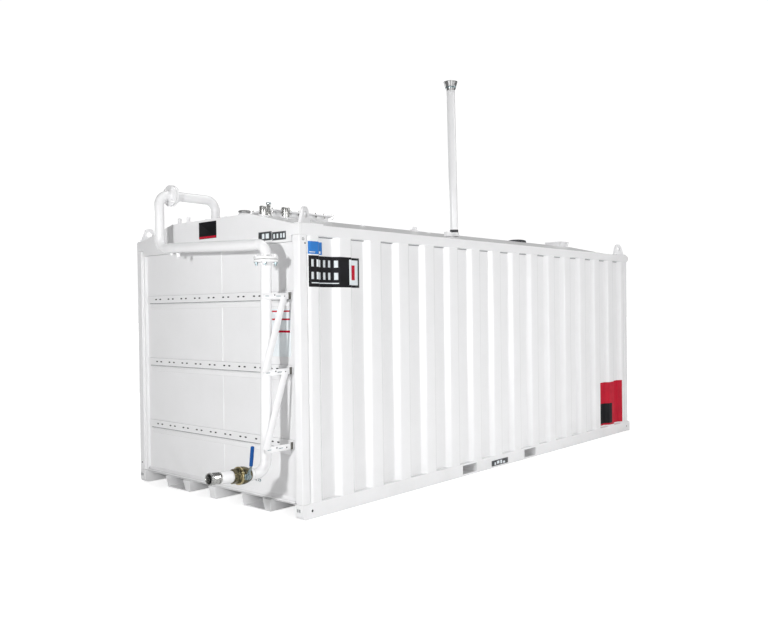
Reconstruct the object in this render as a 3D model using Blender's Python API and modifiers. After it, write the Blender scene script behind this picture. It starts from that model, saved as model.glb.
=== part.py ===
"""Container-format diesel tank with a fill pipe on its front end, 6.058 m long.

The long axis is Y and the fill pipe's end faces -Y. X runs across the tank and Z is up, in
metres. The origin is on the ground, under the centre runner at the middle of the tank.
"""

import math

import bmesh
import bpy
from mathutils import Matrix, Vector

# Outer box of the frame
LENGTH = 6.058
WIDTH = 2.438
EAVE = 2.418
HALF_L = LENGTH / 2
HALF_W = WIDTH / 2

# The gap between solids that touch, how far welded shapes reach into each other, and how far
# cutters reach past what they cut
GAP = 0.0003
LAP = 0.002
DEEP_LAP = 0.010
PAST = 0.010
MERGE = 0.00005

# Rails and corner posts
BOTTOM_RAIL = 0.125
BOTTOM_RAIL_WIDTH = 0.09
RAIL_TOE = 0.035
RAIL_TOE_CORNER = 0.0105
REAR_REACH = 0.062
TOP_RAIL_BOTTOM = 2.33
TOP_RAIL_WIDTH = 0.075
TOP_RAIL_NOSE = 0.055
POST_SIDE = 0.08
POST_FACE = 0.075
POST_STEP = 0.11
POST_STEP_DEPTH = 0.022
POST_STEP_BACK = 0.070
POST_DEPTH = 0.044
EDGE_ROUND = 0.006

# Lifting lugs: the plate's outline is (along, up) from the middle of its foot
LUG_X = 1.165
LUG_Y = {"front": -2.91, "rear": 2.865}
LUG_FOOT = (-0.105, 0.072)
LUG_SHOULDER = (-0.060, 0.105)
LUG_CROWN = (-0.010, 0.087)
LUG_CROWN_REACH = (0.055, 0.052)
LUG_HALF_THICK = 0.013
LUG_TURN = math.radians(21.0)
LUG_EYE = (0.012, 0.075)
LUG_EYE_R = 0.028
LUG_PAD_THICK = 0.0125
LUG_PAD_LENGTH = 0.280
LUG_LAP = 0.001

# Corrugated long walls
WALL_OUTER = HALF_W - 0.005
RIB_COUNT = 15
RIB_PITCH = 0.3877
RIB_START = -2.81
RIB_DEPTH = 0.046
RIB_SLANT = 0.048
RIB_FLOOR = 0.150
SHEET = 0.005

# Roof and headers
ROOF_TOP = 2.555
ROOF_FLAT = 0.58
ROOF_EDGE = HALF_W - TOP_RAIL_WIDTH - GAP
ROOF_EDGE_Z = 2.425
ROOF_SHEET = 0.006
REAR_GABLE = 2.6
GABLE_THICK = 0.008
GABLE_FOOT = 2.40
DECK_BOTTOM = 2.402
DECK_TOP = 2.410
REAR_BEAM_TOP = 2.4085
HEADER_THICK = 0.03
HEADER_BOTTOM = 2.28

# Base: forklift slots through the rails and runners, and the end pockets
SLOT_FRONT = (-0.835, -0.59)
SLOT_REAR = (0.344, 0.584)
SLOT_BOTTOM = 0.02
SLOT_TOP = 0.108
RUNNER_TOP = 0.1137
RUNNER = (-0.065, 0.030)
RUNNER_RAKE = 0.018
POCKETS = {"right": (0.412, 0.812), "left": (-0.768, -0.368)}
POCKET_WEB = 0.012
POCKET_BAR = 0.105
POCKET_BAR_SLANT = 0.040
POCKET_BAR_EDGE = 0.010
POCKET_FLOOR = 0.010
POCKET_FLOOR_START = 0.004
POCKET_FLOOR_SHORT = 0.020
POCKET_RAKE = 0.030
SLEEVE_WALL = 0.006
SLEEVE_TOP = 0.1135
FLOOR = 0.114
FLOOR_THICK = 0.006
FLOOR_INSET = 0.02

# Front end wall and its drilled straps
END_WALL = -HALF_L + POST_DEPTH
END_WALL_THICK = 0.006
END_WALL_BOTTOM = 0.126
LIP_REACH = 0.030
LIP_EDGE = 0.134
LIP_TOP = 0.165
STRAP_HALF = 1.085
STRAP_BENDS = (0.036, -0.033)
STRAP_FOOT = -0.0475
STRAP_LEVELS = {"upper": 1.842, "middle": 1.226, "lower": 0.607}
STRAP_THICK = 0.012
DOUBLER_HALF = 1.045
DOUBLER_ENDS = (-0.0945, 0.0275)
DOUBLER_THICK = 0.005

# Fill pipe, a 3 inch line
PIPE_R = 0.0445
BEND_R = 0.105
CROSS_BEND_R = 0.100
PIPE_X = 1.03
PIPE_TOP_Y = -3.217
PIPE_FOOT_Y = -3.251
FLANGE_R = 0.10
FLANGE_THICK = 0.018
FLANGE_FACE_R = 0.066
FLANGE_FACE = 0.004
FLANGE_FACE_LAP = 0.008
FLANGE_Z = 2.127
CROSS_Z = 2.250
RISER_X = -0.506
RISER_CROSS_Z = 2.311
ROOF_RUN_Z = 2.815
ROOF_FLANGE_Y = -3.086
DOWN_Y = -2.582
COLLAR_R = 0.062
COLLAR_HEIGHT = 0.02

# Ball valve and hose nipple, measured along the run from the standpipe's foot bend
RUN_Z = 0.410
RUN_TILT = math.radians(4.0)
VALVE_START = 0.145
VALVE_END = 0.345
SLEEVE_END = 0.442
NIPPLE_END = 0.557

# Valve body: its hexagon ends, necks, belly and stem
HEX_R = 0.058
HEX_FACE_R = 0.054
HEX_CHAMFER = 0.006
HEX_LENGTH = 0.036
NECK_R = 0.050
NECK_PLACE = 0.042
BELLY_R = 0.070
BELLY_SIDE_R = 0.066
BELLY_HALF = 0.035
STEM_R = 0.026
STEM_REACH = 0.082

# Sleeve, and the nipple with its bore, rim, thread and foot
SLEEVE_R = 0.049
NIPPLE_BORE_R = 0.038
NIPPLE_BORE_DEPTH = 0.090
NIPPLE_RIM_R = 0.048
NIPPLE_RIM_LENGTH = 0.050
NIPPLE_THREAD_R = 0.042
NIPPLE_THREAD_TOP = 0.054
NIPPLE_THREAD_FOOT = 0.030
NIPPLE_FOOT_R = 0.046
NIPPLE_FOOT_LENGTH = 0.028

# Lever and grip in the lever's own frame: X out from the stem, Z along the lever
LEVER_LEAN = math.radians(7.0)
LEVER_LINE = (
    (0.0, -0.026), (0.007, -0.026), (0.007, 0.034), (0.024, 0.062), (0.024, 0.074),
    (0.018, 0.074), (0.018, 0.064), (0.0, 0.036),
)
LEVER_HALF_WIDTH = 0.014
LEVER_NUT = (0.004, 0.022)
LEVER_NUT_R = 0.017
GRIP_LOW = (0.013, -0.016, 0.0743)
GRIP_HIGH = (0.029, 0.016, 0.237)
GRIP_ROUND = 0.005

# Flat arms and braces beside the standpipe
ARM_X = PIPE_X + PIPE_R + GAP
ARM_THICK = 0.008
ARM_HEIGHT = 0.054
ARM_FRONT = -3.303
ARM_DROP = 0.008
ARM_ROOT_WIDTH = 0.045
ARM_ROOT_THICK = 0.008
ARM_ROOT_LAP = 0.004
STRUT_HALF = 0.035
STRUT_THICK = 0.006
STRUT_DROP = 0.014
STRUT_TOP_Y = -3.080
STRUT_FOOT_Y = -3.290

# Roof fittings
MANWAY = ((0.16, 0.472), (-2.67, -1.88))
MANWAY_TOP = 2.635
MANWAY_COVER = 0.014
MANWAY_RIM = 0.035
MANWAY_ROUND = 0.003
FILLER_CAPS = {"front": (0.66, -2.930, 2.620), "rear": (0.64, -2.662, 2.634)}
CAP_R = 0.037
CAP_TOP_R = 0.034
CAP_CHAMFER = 0.006
CAP_HEIGHT = 0.072
CAP_RING_R = 0.044
ROOF_SINK = 0.03
VENT_X = 0.87
VENT_Y = -0.466
VENT_LEAN = 0.031
VENT_TOP = 4.055
VENT_BASE_R = 0.053
VENT_BASE_HEIGHT = 0.072
VENT_CAP = (
    (0.0, 0.109), (0.046, 0.104), (0.050, 0.087), (0.054, 0.087), (0.070, 0.094),
    (0.075, 0.094), (0.060, 0.050), (0.046, GAP), (0.0, GAP),
)
ROUND_HATCH = (0.44, 1.46)
ROUND_HATCH_PROFILE = (
    (0.0, 2.600), (0.080, 2.597), (0.118, 2.586), (0.125, 2.575), (0.125, ROOF_TOP + GAP),
    (0.0, ROOF_TOP + GAP),
)
BOX_HATCH_LOW = (0.33, 2.36, ROOF_TOP + GAP)
BOX_HATCH_HIGH = (0.578, 2.598, 2.622)
BOX_HATCH_ROUND = 0.004

COLLECTION = "diesel_tank"
CUTTERS = "cutters"


def clear_scene():
    """Removes every object, then makes the collections for the parts and their cutters."""
    for obj in list(bpy.data.objects):
        bpy.data.objects.remove(obj, do_unlink=True)
    for name in (COLLECTION, CUTTERS):
        collection = bpy.data.collections.new(name)
        bpy.context.scene.collection.children.link(collection)


def paint(name, colour, roughness, metallic=0.0):
    """A material with a plain colour, for the sub-parts of one finish."""
    material = bpy.data.materials.new(name)
    material.use_nodes = True
    shader = material.node_tree.nodes["Principled BSDF"]
    shader.inputs["Base Color"].default_value = (*colour, 1.0)
    shader.inputs["Roughness"].default_value = roughness
    shader.inputs["Metallic"].default_value = metallic
    return material


def add(name, mesh, material, cutter=False):
    """Puts a mesh in the scene as one named sub-part, or as a cutter that isn't kept."""
    obj = bpy.data.objects.new(name, mesh)
    bpy.data.collections[CUTTERS if cutter else COLLECTION].objects.link(obj)
    if cutter:
        obj.hide_render = True
        obj.display_type = "WIRE"
    else:
        mesh.materials.append(material)
    return obj


def box_mesh(low, high):
    """A box between two corners."""
    low, high = Vector(low), Vector(high)
    bm = bmesh.new()
    bmesh.ops.create_cube(bm, size=1.0)
    bmesh.ops.scale(bm, vec=high - low, verts=bm.verts)
    bmesh.ops.translate(bm, vec=(low + high) / 2, verts=bm.verts)
    mesh = bpy.data.meshes.new("box")
    bm.to_mesh(mesh)
    bm.free()
    return mesh


def rod_mesh(start, end, radius, end_radius=None, sides=24):
    """A closed cylinder or cone between two points."""
    start, end = Vector(start), Vector(end)
    axis = end - start
    bm = bmesh.new()
    bmesh.ops.create_cone(
        bm, cap_ends=True, segments=sides, radius1=radius,
        radius2=radius if end_radius is None else end_radius, depth=axis.length,
    )
    turn = axis.to_track_quat("Z", "Y").to_matrix().to_4x4()
    bm.transform(Matrix.Translation((start + end) / 2) @ turn)
    mesh = bpy.data.meshes.new("rod")
    bm.to_mesh(mesh)
    bm.free()
    return mesh


def curve_mesh(curve, placing):
    """Turns a curve into a welded mesh, placed by a matrix, and removes the curve."""
    guide = bpy.data.objects.new("guide", curve)
    bpy.data.collections[CUTTERS].objects.link(guide)
    depsgraph = bpy.context.evaluated_depsgraph_get()
    mesh = bpy.data.meshes.new_from_object(guide.evaluated_get(depsgraph))
    bpy.data.objects.remove(guide, do_unlink=True)
    bpy.data.curves.remove(curve)
    bm = bmesh.new()
    bm.from_mesh(mesh)
    bmesh.ops.remove_doubles(bm, verts=bm.verts, dist=MERGE)
    bm.transform(placing)
    bm.to_mesh(mesh)
    bm.free()
    mesh.materials.clear()
    return mesh


def outline_mesh(outline, across, low, high):
    """A flat outline filled and extruded along X or Y from low to high.

    The outline's points are (y, z) when it is extruded along X, and (x, z) along Y.
    """
    curve = bpy.data.curves.new("outline", "CURVE")
    curve.dimensions = "2D"
    curve.fill_mode = "BOTH"
    curve.extrude = (high - low) / 2
    spline = curve.splines.new("POLY")
    spline.points.add(len(outline) - 1)
    for point, place in zip(spline.points, outline):
        point.co = (*place, 0.0, 1.0)
    spline.use_cyclic_u = True
    middle = (low + high) / 2
    if across == "X":
        rows = ((0, 0, 1, middle), (1, 0, 0, 0), (0, 1, 0, 0), (0, 0, 0, 1))
    else:
        rows = ((1, 0, 0, 0), (0, 0, -1, middle), (0, 1, 0, 0), (0, 0, 0, 1))
    return curve_mesh(curve, Matrix(rows))


def bend_points(corners, radius, steps=6):
    """Points along straight runs between corners, with an arc of one radius at each corner."""
    corners = [Vector(corner) for corner in corners]
    points = [corners[0]]
    for before, corner, after in zip(corners, corners[1:], corners[2:]):
        towards = (before - corner).normalized()
        away = (after - corner).normalized()
        half = towards.angle(away) / 2
        reach = radius / math.tan(half)
        centre = corner + (towards + away).normalized() * (radius / math.sin(half))
        first = corner + towards * reach - centre
        last = corner + away * reach - centre
        sweep = first.angle(last)
        axis = first.cross(last).normalized()
        for step in range(steps + 1):
            turn = Matrix.Rotation(sweep * step / steps, 3, axis)
            points.append(centre + turn @ first)
    points.append(corners[-1])
    return points


def pipe_mesh(points, radius, resolution=8):
    """A solid round bar along a line of points, with flat ends."""
    curve = bpy.data.curves.new("pipe", "CURVE")
    curve.dimensions = "3D"
    curve.bevel_depth = radius
    curve.bevel_resolution = resolution
    curve.use_fill_caps = True
    spline = curve.splines.new("POLY")
    spline.points.add(len(points) - 1)
    for point, place in zip(spline.points, points):
        point.co = (*place, 1.0)
    return curve_mesh(curve, Matrix.Identity(4))


def turned_mesh(profile, placing, sides=32):
    """A solid turned about Z from (radius, height) points, outer side from top to bottom."""
    bm = bmesh.new()
    corners = [bm.verts.new((radius, 0.0, height)) for radius, height in profile]
    for first, second in zip(corners, corners[1:]):
        bm.edges.new((first, second))
    mesh = bpy.data.meshes.new("profile")
    bm.to_mesh(mesh)
    bm.free()
    guide = bpy.data.objects.new("guide", mesh)
    bpy.data.collections[CUTTERS].objects.link(guide)
    screw = guide.modifiers.new("turn", "SCREW")
    screw.steps = sides
    screw.render_steps = sides
    screw.use_merge_vertices = True
    screw.merge_threshold = MERGE
    depsgraph = bpy.context.evaluated_depsgraph_get()
    solid = bpy.data.meshes.new_from_object(guide.evaluated_get(depsgraph))
    bpy.data.objects.remove(guide, do_unlink=True)
    bpy.data.meshes.remove(mesh)
    bm = bmesh.new()
    bm.from_mesh(solid)
    bmesh.ops.remove_doubles(bm, verts=bm.verts, dist=MERGE)
    bm.transform(placing)
    bm.to_mesh(solid)
    bm.free()
    return solid


def combine(obj, mesh, operation):
    """Joins a mesh to an object, or cuts it from the object, and keeps one closed body."""
    tool = add("tool", mesh, None, cutter=True)
    step = obj.modifiers.new(operation.lower(), "BOOLEAN")
    step.operation = operation
    step.solver = "EXACT"
    step.object = tool
    depsgraph = bpy.context.evaluated_depsgraph_get()
    result = bpy.data.meshes.new_from_object(obj.evaluated_get(depsgraph))
    obj.modifiers.remove(step)
    obj.data = result
    bpy.data.objects.remove(tool, do_unlink=True)


def join(obj, *meshes):
    """Welds more shapes onto a sub-part."""
    for mesh in meshes:
        combine(obj, mesh, "UNION")


def cut(obj, *meshes):
    """Cuts shapes out of a sub-part."""
    for mesh in meshes:
        combine(obj, mesh, "DIFFERENCE")


def round_edges(obj, width, segments=2):
    """Rounds the sharp edges of a sub-part."""
    bevel = obj.modifiers.new("rounding", "BEVEL")
    bevel.width = width
    bevel.segments = segments
    bevel.limit_method = "ANGLE"


def shade_round(obj):
    """Shades the round faces of a sub-part smooth."""
    obj.data.shade_smooth()
    obj.data.set_sharp_from_angle(angle=math.radians(35.0))


def side_name(side):
    """The name of a long side: right is +X, as seen from in front of the fill pipe."""
    return "right" if side > 0 else "left"


def end_name(end):
    """The name of an end: front is -Y, where the fill pipe is."""
    return "rear" if end > 0 else "front"


def slots_through(low_x, high_x):
    """Cutters for the two forklift slots across one rail or runner."""
    return [
        box_mesh((low_x, near, SLOT_BOTTOM), (high_x, far, SLOT_TOP))
        for near, far in (SLOT_FRONT, SLOT_REAR)
    ]


def bottom_rail(side, white):
    """A long bottom rail with a rounded front toe, and the sleeves of its forklift slots."""
    inner = HALF_W - BOTTOM_RAIL_WIDTH
    xs = sorted((side * inner, side * HALF_W))
    end = HALF_L + REAR_REACH
    outline = [
        (-HALF_L + RAIL_TOE, 0.0), (end, 0.0), (end, BOTTOM_RAIL), (-HALF_L, BOTTOM_RAIL),
        (-HALF_L, RAIL_TOE), (-HALF_L + RAIL_TOE_CORNER, RAIL_TOE_CORNER),
    ]
    rail = add(f"bottom_rail_{side_name(side)}", outline_mesh(outline, "X", *xs), white)
    pocket = max(POCKETS["right"]) if side > 0 else min(POCKETS["left"])
    reach = sorted((pocket + side * GAP, side * (inner + DEEP_LAP)))
    for near, far in (SLOT_FRONT, SLOT_REAR):
        join(rail, box_mesh(
            (reach[0], near - SLEEVE_WALL, SLOT_BOTTOM - SLEEVE_WALL),
            (reach[1], far + SLEEVE_WALL, SLEEVE_TOP),
        ))
    cut(rail, *slots_through(min(reach[0], xs[0]) - PAST, max(reach[1], xs[1]) + PAST))
    return rail


def top_rail(side, white):
    """A long top rail behind the front header, with a round nose past the rear post."""
    xs = sorted((side * (HALF_W - TOP_RAIL_WIDTH), side * HALF_W))
    start = -HALF_L + HEADER_THICK + GAP
    middle, half = (TOP_RAIL_BOTTOM + EAVE) / 2, (EAVE - TOP_RAIL_BOTTOM) / 2
    outline = [(start, TOP_RAIL_BOTTOM)]
    for step in range(13):
        angle = math.radians(-90.0 + 15.0 * step)
        outline.append((
            HALF_L + TOP_RAIL_NOSE * math.cos(angle), middle + half * math.sin(angle)
        ))
    outline.append((start, EAVE))
    rail = add(f"top_rail_{side_name(side)}", outline_mesh(outline, "X", *xs), white)
    round_edges(rail, EDGE_ROUND)
    return rail


def corner_post(side, end, white):
    """A folded corner post with a step on its end face, standing between the rails."""
    outer_x, outer_y = side * HALF_W, end * HALF_L
    low_z, high_z = BOTTOM_RAIL + GAP, TOP_RAIL_BOTTOM - GAP

    def block(width, start_depth, depth):
        xs = sorted((outer_x, outer_x - side * width))
        ys = sorted((outer_y - end * start_depth, outer_y - end * depth))
        return box_mesh((xs[0], ys[0], low_z), (xs[1], ys[1], high_z))

    name = f"post_{end_name(end)}_{side_name(side)}"
    post = add(name, block(POST_FACE, 0.0, POST_SIDE), white)
    join(post, block(POST_STEP, POST_STEP_DEPTH, POST_STEP_BACK))
    return post


def long_wall(side, white):
    """A corrugated long wall: trapezoidal recesses folded into one sheet."""
    bm = bmesh.new()
    outer, floor = side * WALL_OUTER, side * (WALL_OUTER - RIB_DEPTH)
    run = HALF_L - POST_SIDE - GAP
    line = [(outer, -run)]
    for rib in range(RIB_COUNT):
        start = RIB_START + rib * RIB_PITCH
        line.append((outer, start))
        line.append((floor, start + RIB_SLANT))
        line.append((floor, start + RIB_SLANT + RIB_FLOOR))
        line.append((outer, start + 2 * RIB_SLANT + RIB_FLOOR))
    line.append((outer, run))
    low_z, high_z = BOTTOM_RAIL + GAP, TOP_RAIL_BOTTOM - GAP
    foot = [bm.verts.new((x, y, low_z)) for x, y in line]
    head = [bm.verts.new((x, y, high_z)) for x, y in line]
    for index in range(len(line) - 1):
        corners = (foot[index], foot[index + 1], head[index + 1], head[index])
        bm.faces.new(corners if side > 0 else corners[::-1])
    mesh = bpy.data.meshes.new("sheet")
    bm.to_mesh(mesh)
    bm.free()
    wall = add(f"side_wall_{side_name(side)}", mesh, white)
    sheet = wall.modifiers.new("sheet", "SOLIDIFY")
    sheet.thickness = SHEET
    sheet.offset = -1.0
    sheet.use_even_offset = True
    return wall


def roof_outline(edge, inset=0.0):
    """The roof's section: a flat middle and two sloping shoulders."""
    return [
        (-edge, ROOF_EDGE_Z - inset), (-ROOF_FLAT, ROOF_TOP - inset),
        (ROOF_FLAT, ROOF_TOP - inset), (edge, ROOF_EDGE_Z - inset),
    ]


def front_header(white):
    """The plate across the front end, cut to the roof's section and notched at the posts."""
    inner = HALF_W - POST_STEP - GAP
    right = [
        (ROOF_EDGE, EAVE), (HALF_W, EAVE), (HALF_W, TOP_RAIL_BOTTOM),
        (inner, TOP_RAIL_BOTTOM), (inner, HEADER_BOTTOM),
    ]
    outline = roof_outline(ROOF_EDGE) + right + [(-x, z) for x, z in reversed(right)]
    return add("front_header", outline_mesh(outline, "Y", -HALF_L, -HALF_L + HEADER_THICK), white)


def roof_panel(white):
    """The raised roof between the front header and the rear gable."""
    outline = roof_outline(ROOF_EDGE) + roof_outline(ROOF_EDGE, ROOF_SHEET)[::-1]
    start = -HALF_L + HEADER_THICK + GAP
    return add("roof_panel", outline_mesh(outline, "Y", start, REAR_GABLE), white)


def rear_deck(white):
    """The low deck behind the raised roof, with its gable and the beam across the rear end."""
    front = REAR_GABLE + GAP
    outline = roof_outline(ROOF_EDGE) + [(ROOF_EDGE, GABLE_FOOT), (-ROOF_EDGE, GABLE_FOOT)]
    deck = add("rear_deck", outline_mesh(outline, "Y", front, front + GABLE_THICK), white)
    inner = HALF_W - POST_STEP - GAP
    join(
        deck,
        box_mesh((-ROOF_EDGE, front + LAP, DECK_BOTTOM), (ROOF_EDGE, HALF_L - LAP, DECK_TOP)),
        box_mesh((-inner, HALF_L - HEADER_THICK, HEADER_BOTTOM), (inner, HALF_L, REAR_BEAM_TOP)),
    )
    return deck


def end_wall(end, white):
    """A flat end wall set back between the posts, with a folded lip along its foot."""
    inner = HALF_W - POST_STEP - GAP
    face = end * abs(END_WALL)
    ys = sorted((face, face - end * END_WALL_THICK))
    top = HEADER_BOTTOM - GAP
    wall_low, wall_high = (-inner, ys[0], END_WALL_BOTTOM), (inner, ys[1], top)
    wall = add(f"end_wall_{end_name(end)}", box_mesh(wall_low, wall_high), white)
    lip = [
        (-LAP, END_WALL_BOTTOM), (LIP_REACH, END_WALL_BOTTOM), (LIP_REACH, LIP_EDGE),
        (LIP_REACH / 2, LIP_EDGE + (LIP_TOP - LIP_EDGE) / 4),
        (LIP_REACH / 4, (LIP_EDGE + LIP_TOP) / 2), (0.0, LIP_TOP), (-LAP, LIP_TOP),
    ]
    join(wall, outline_mesh([(face + end * out, z) for out, z in lip], "X", -inner, inner))
    return wall


def floor_panel(white):
    """The floor sheet, laid on the runners between the bottom rails."""
    reach = HALF_W - BOTTOM_RAIL_WIDTH - GAP
    end = HALF_L - FLOOR_INSET
    sheet = box_mesh((-reach, -end, FLOOR), (reach, end, FLOOR + FLOOR_THICK))
    return add("floor_panel", sheet, white)


def raked(low_x, high_x, rake):
    """A long bar under the floor, whose ends slope back towards the ground."""
    outline = [
        (-HALF_L + rake, 0.0), (HALF_L - rake, 0.0), (HALF_L, RUNNER_TOP), (-HALF_L, RUNNER_TOP),
    ]
    return outline_mesh(outline, "X", low_x, high_x)


def centre_runner(white):
    """The runner under the middle of the floor."""
    runner = add("centre_runner", raked(*RUNNER, RUNNER_RAKE), white)
    cut(runner, *slots_through(RUNNER[0] - PAST, RUNNER[1] + PAST))
    return runner


def end_pocket(side, white):
    """A long floor channel that is open at both ends: a web, a floor and a slanted bar."""
    web, bar = POCKETS[side_name(side)]
    pocket = add(
        f"end_pocket_{side_name(side)}", raked(web, web + POCKET_WEB, POCKET_RAKE), white
    )
    run = HALF_L - POCKET_RAKE
    bar_foot = bar - POCKET_BAR_SLANT
    floor = box_mesh(
        (web + POCKET_FLOOR_START, -run, 0.0), (bar_foot - POCKET_FLOOR_SHORT, run, POCKET_FLOOR)
    )
    join(pocket, raked(bar - POCKET_BAR, bar, POCKET_RAKE), floor)
    edge = RUNNER_TOP - POCKET_BAR_EDGE
    slant = [
        (bar + PAST, -PAST), (bar_foot, -PAST), (bar_foot, 0.0), (bar, edge), (bar + PAST, edge),
    ]
    cut(
        pocket, outline_mesh(slant, "Y", -HALF_L - PAST, HALF_L + PAST),
        *slots_through(web - PAST, bar + PAST),
    )
    return pocket


def lifting_lug(side, end, white):
    """A lifting plate with an eye, turned towards the middle of the tank."""
    outline = [(LUG_FOOT[0], 0.0), LUG_SHOULDER]
    for step in range(7):
        angle = math.radians(155.0 - step * 25.0)
        outline.append((
            LUG_CROWN[0] + LUG_CROWN_REACH[0] * math.cos(angle),
            LUG_CROWN[1] + LUG_CROWN_REACH[1] * math.sin(angle),
        ))
    outline.append((LUG_FOOT[1], 0.0))
    along = [(-end * y, z) for y, z in outline]
    mesh = outline_mesh(along, "X", -LUG_HALF_THICK, LUG_HALF_THICK)
    lug = add(f"lifting_lug_{end_name(end)}_{side_name(side)}", mesh, white)
    eye_y, eye_z = end * LUG_EYE[0], LUG_EYE[1]
    through = LUG_HALF_THICK + PAST
    cut(lug, rod_mesh((-through, eye_y, eye_z), (through, eye_y, eye_z), LUG_EYE_R, sides=20))
    foot = EAVE + LUG_PAD_THICK - LUG_LAP
    placing = Matrix.Translation((side * LUG_X, LUG_Y[end_name(end)], foot))
    lug.data.transform(placing @ Matrix.Rotation(LUG_TURN * -side * end, 4, "Z"))
    xs = sorted((side * (HALF_W - EDGE_ROUND), side * (HALF_W - TOP_RAIL_WIDTH + EDGE_ROUND)))
    ys = sorted((end * (HALF_L - EDGE_ROUND), end * (HALF_L - LUG_PAD_LENGTH)))
    join(lug, box_mesh((xs[0], ys[0], EAVE + GAP), (xs[1], ys[1], EAVE + LUG_PAD_THICK)))
    return lug


def strap(level, height, white):
    """A drilled strap across the front wall, folded in at its foot, on its thinner doubler."""
    face = END_WALL - GAP
    front = face - STRAP_THICK
    outline = [
        (face, height + STRAP_BENDS[0]), (front, height + STRAP_BENDS[0]),
        (front, height + STRAP_BENDS[1]), (face - DOUBLER_THICK, height + STRAP_FOOT),
        (face, height + STRAP_FOOT),
    ]
    bar = outline_mesh(outline, "X", -STRAP_HALF, STRAP_HALF)
    piece = add(f"drilled_strap_{level}", bar, white)
    foot, head = height + DOUBLER_ENDS[0], height + DOUBLER_ENDS[1]
    join(piece, box_mesh((-DOUBLER_HALF, face - DOUBLER_THICK, foot), (DOUBLER_HALF, face, head)))
    return piece


def pipe_y(height):
    """Where the standpipe's axis is at a height: its foot stands a little further out."""
    share = (height - RUN_Z) / (CROSS_Z - RUN_Z)
    return PIPE_FOOT_Y + share * (PIPE_TOP_Y - PIPE_FOOT_Y)


def run_matrix():
    """Places a piece made along +Z from the foot bend's corner onto the tilted valve run."""
    corner = Matrix.Translation((PIPE_X, PIPE_FOOT_Y, RUN_Z))
    return corner @ Matrix.Rotation(math.radians(90.0) - RUN_TILT, 4, "X")


def flange_meshes(centre, away):
    """A pipe flange and its raised face, from its face towards the pipe it belongs to."""
    centre, away = Vector(centre), Vector(away).normalized()
    back = centre + away * (FLANGE_FACE + FLANGE_THICK)
    return [
        rod_mesh(centre + away * FLANGE_FACE, back, FLANGE_R, sides=32),
        rod_mesh(centre, centre + away * FLANGE_FACE_LAP, FLANGE_FACE_R, sides=24),
    ]


def standpipe(white):
    """The upright pipe beside the corner, from the valve's bend to the lower flange."""
    face = Vector((PIPE_X, pipe_y(FLANGE_Z), FLANGE_Z - GAP / 2))
    foot = run_matrix() @ Vector((0.0, 0.0, VALVE_START - GAP))
    corner = Vector((PIPE_X, PIPE_FOOT_Y, RUN_Z))
    points = bend_points([foot, corner, face - Vector((0.0, 0.0, DEEP_LAP))], BEND_R)
    pipe = add("standpipe", pipe_mesh(points, PIPE_R), white)
    join(pipe, *flange_meshes(face, (0.0, 0.0, -1.0)))
    shade_round(pipe)
    return pipe


def cross_pipe(white):
    """The pipe from the upper flange across the front, up, and back to the roof flange."""
    start = Vector((PIPE_X, pipe_y(FLANGE_Z), FLANGE_Z + GAP / 2))
    end = Vector((RISER_X, ROOF_FLANGE_Y - GAP / 2, ROOF_RUN_Z))
    corners = [
        start + Vector((0.0, 0.0, DEEP_LAP)),
        (PIPE_X, PIPE_TOP_Y, CROSS_Z),
        (RISER_X, PIPE_TOP_Y, RISER_CROSS_Z),
        (RISER_X, PIPE_TOP_Y, ROOF_RUN_Z),
        end - Vector((0.0, DEEP_LAP, 0.0)),
    ]
    pipe = add("cross_pipe", pipe_mesh(bend_points(corners, CROSS_BEND_R), PIPE_R), white)
    join(pipe, *flange_meshes(start, (0.0, 0.0, 1.0)), *flange_meshes(end, (0.0, -1.0, 0.0)))
    shade_round(pipe)
    return pipe


def roof_pipe(white):
    """The pipe along the roof and down into it, with a collar where it enters."""
    start = Vector((RISER_X, ROOF_FLANGE_Y + GAP / 2, ROOF_RUN_Z))
    foot = Vector((RISER_X, DOWN_Y, ROOF_TOP + GAP))
    corners = [start + Vector((0.0, DEEP_LAP, 0.0)), (RISER_X, DOWN_Y, ROOF_RUN_Z), foot]
    pipe = add("roof_pipe", pipe_mesh(bend_points(corners, BEND_R), PIPE_R), white)
    join(
        pipe, *flange_meshes(start, (0.0, 1.0, 0.0)),
        rod_mesh(foot, foot + Vector((0.0, 0.0, COLLAR_HEIGHT)), COLLAR_R),
    )
    shade_round(pipe)
    return pipe


def pipe_bracket(level, height, white):
    """A flat arm from its strap past the side of the standpipe, on a small root plate."""
    wall = END_WALL - STRAP_THICK - 2 * GAP
    low_z, high_z = height - ARM_HEIGHT / 2, height + ARM_HEIGHT / 2
    low, high = (ARM_X, ARM_FRONT, low_z), (ARM_X + ARM_THICK, wall, high_z)
    arm = add(f"pipe_bracket_{level}", box_mesh(low, high), white)
    join(arm, box_mesh(
        (ARM_X - ARM_ROOT_WIDTH, wall - ARM_ROOT_THICK, low_z), (ARM_X + ARM_ROOT_LAP, wall, high_z)
    ))
    return arm


def pipe_strut(level, high_level, low_level, white):
    """A flat brace from one arm's root down to the front of the arm below it."""
    top, foot = STRAP_LEVELS[high_level] - STRUT_DROP, STRAP_LEVELS[low_level]
    outline = [
        (STRUT_TOP_Y - STRUT_HALF, top), (STRUT_FOOT_Y - STRUT_HALF, foot),
        (STRUT_FOOT_Y + STRUT_HALF, foot), (STRUT_TOP_Y + STRUT_HALF, top),
    ]
    face = ARM_X + ARM_THICK + GAP
    mesh = outline_mesh(outline, "X", face, face + STRUT_THICK)
    return add(f"pipe_strut_{level}", mesh, white)


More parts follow.
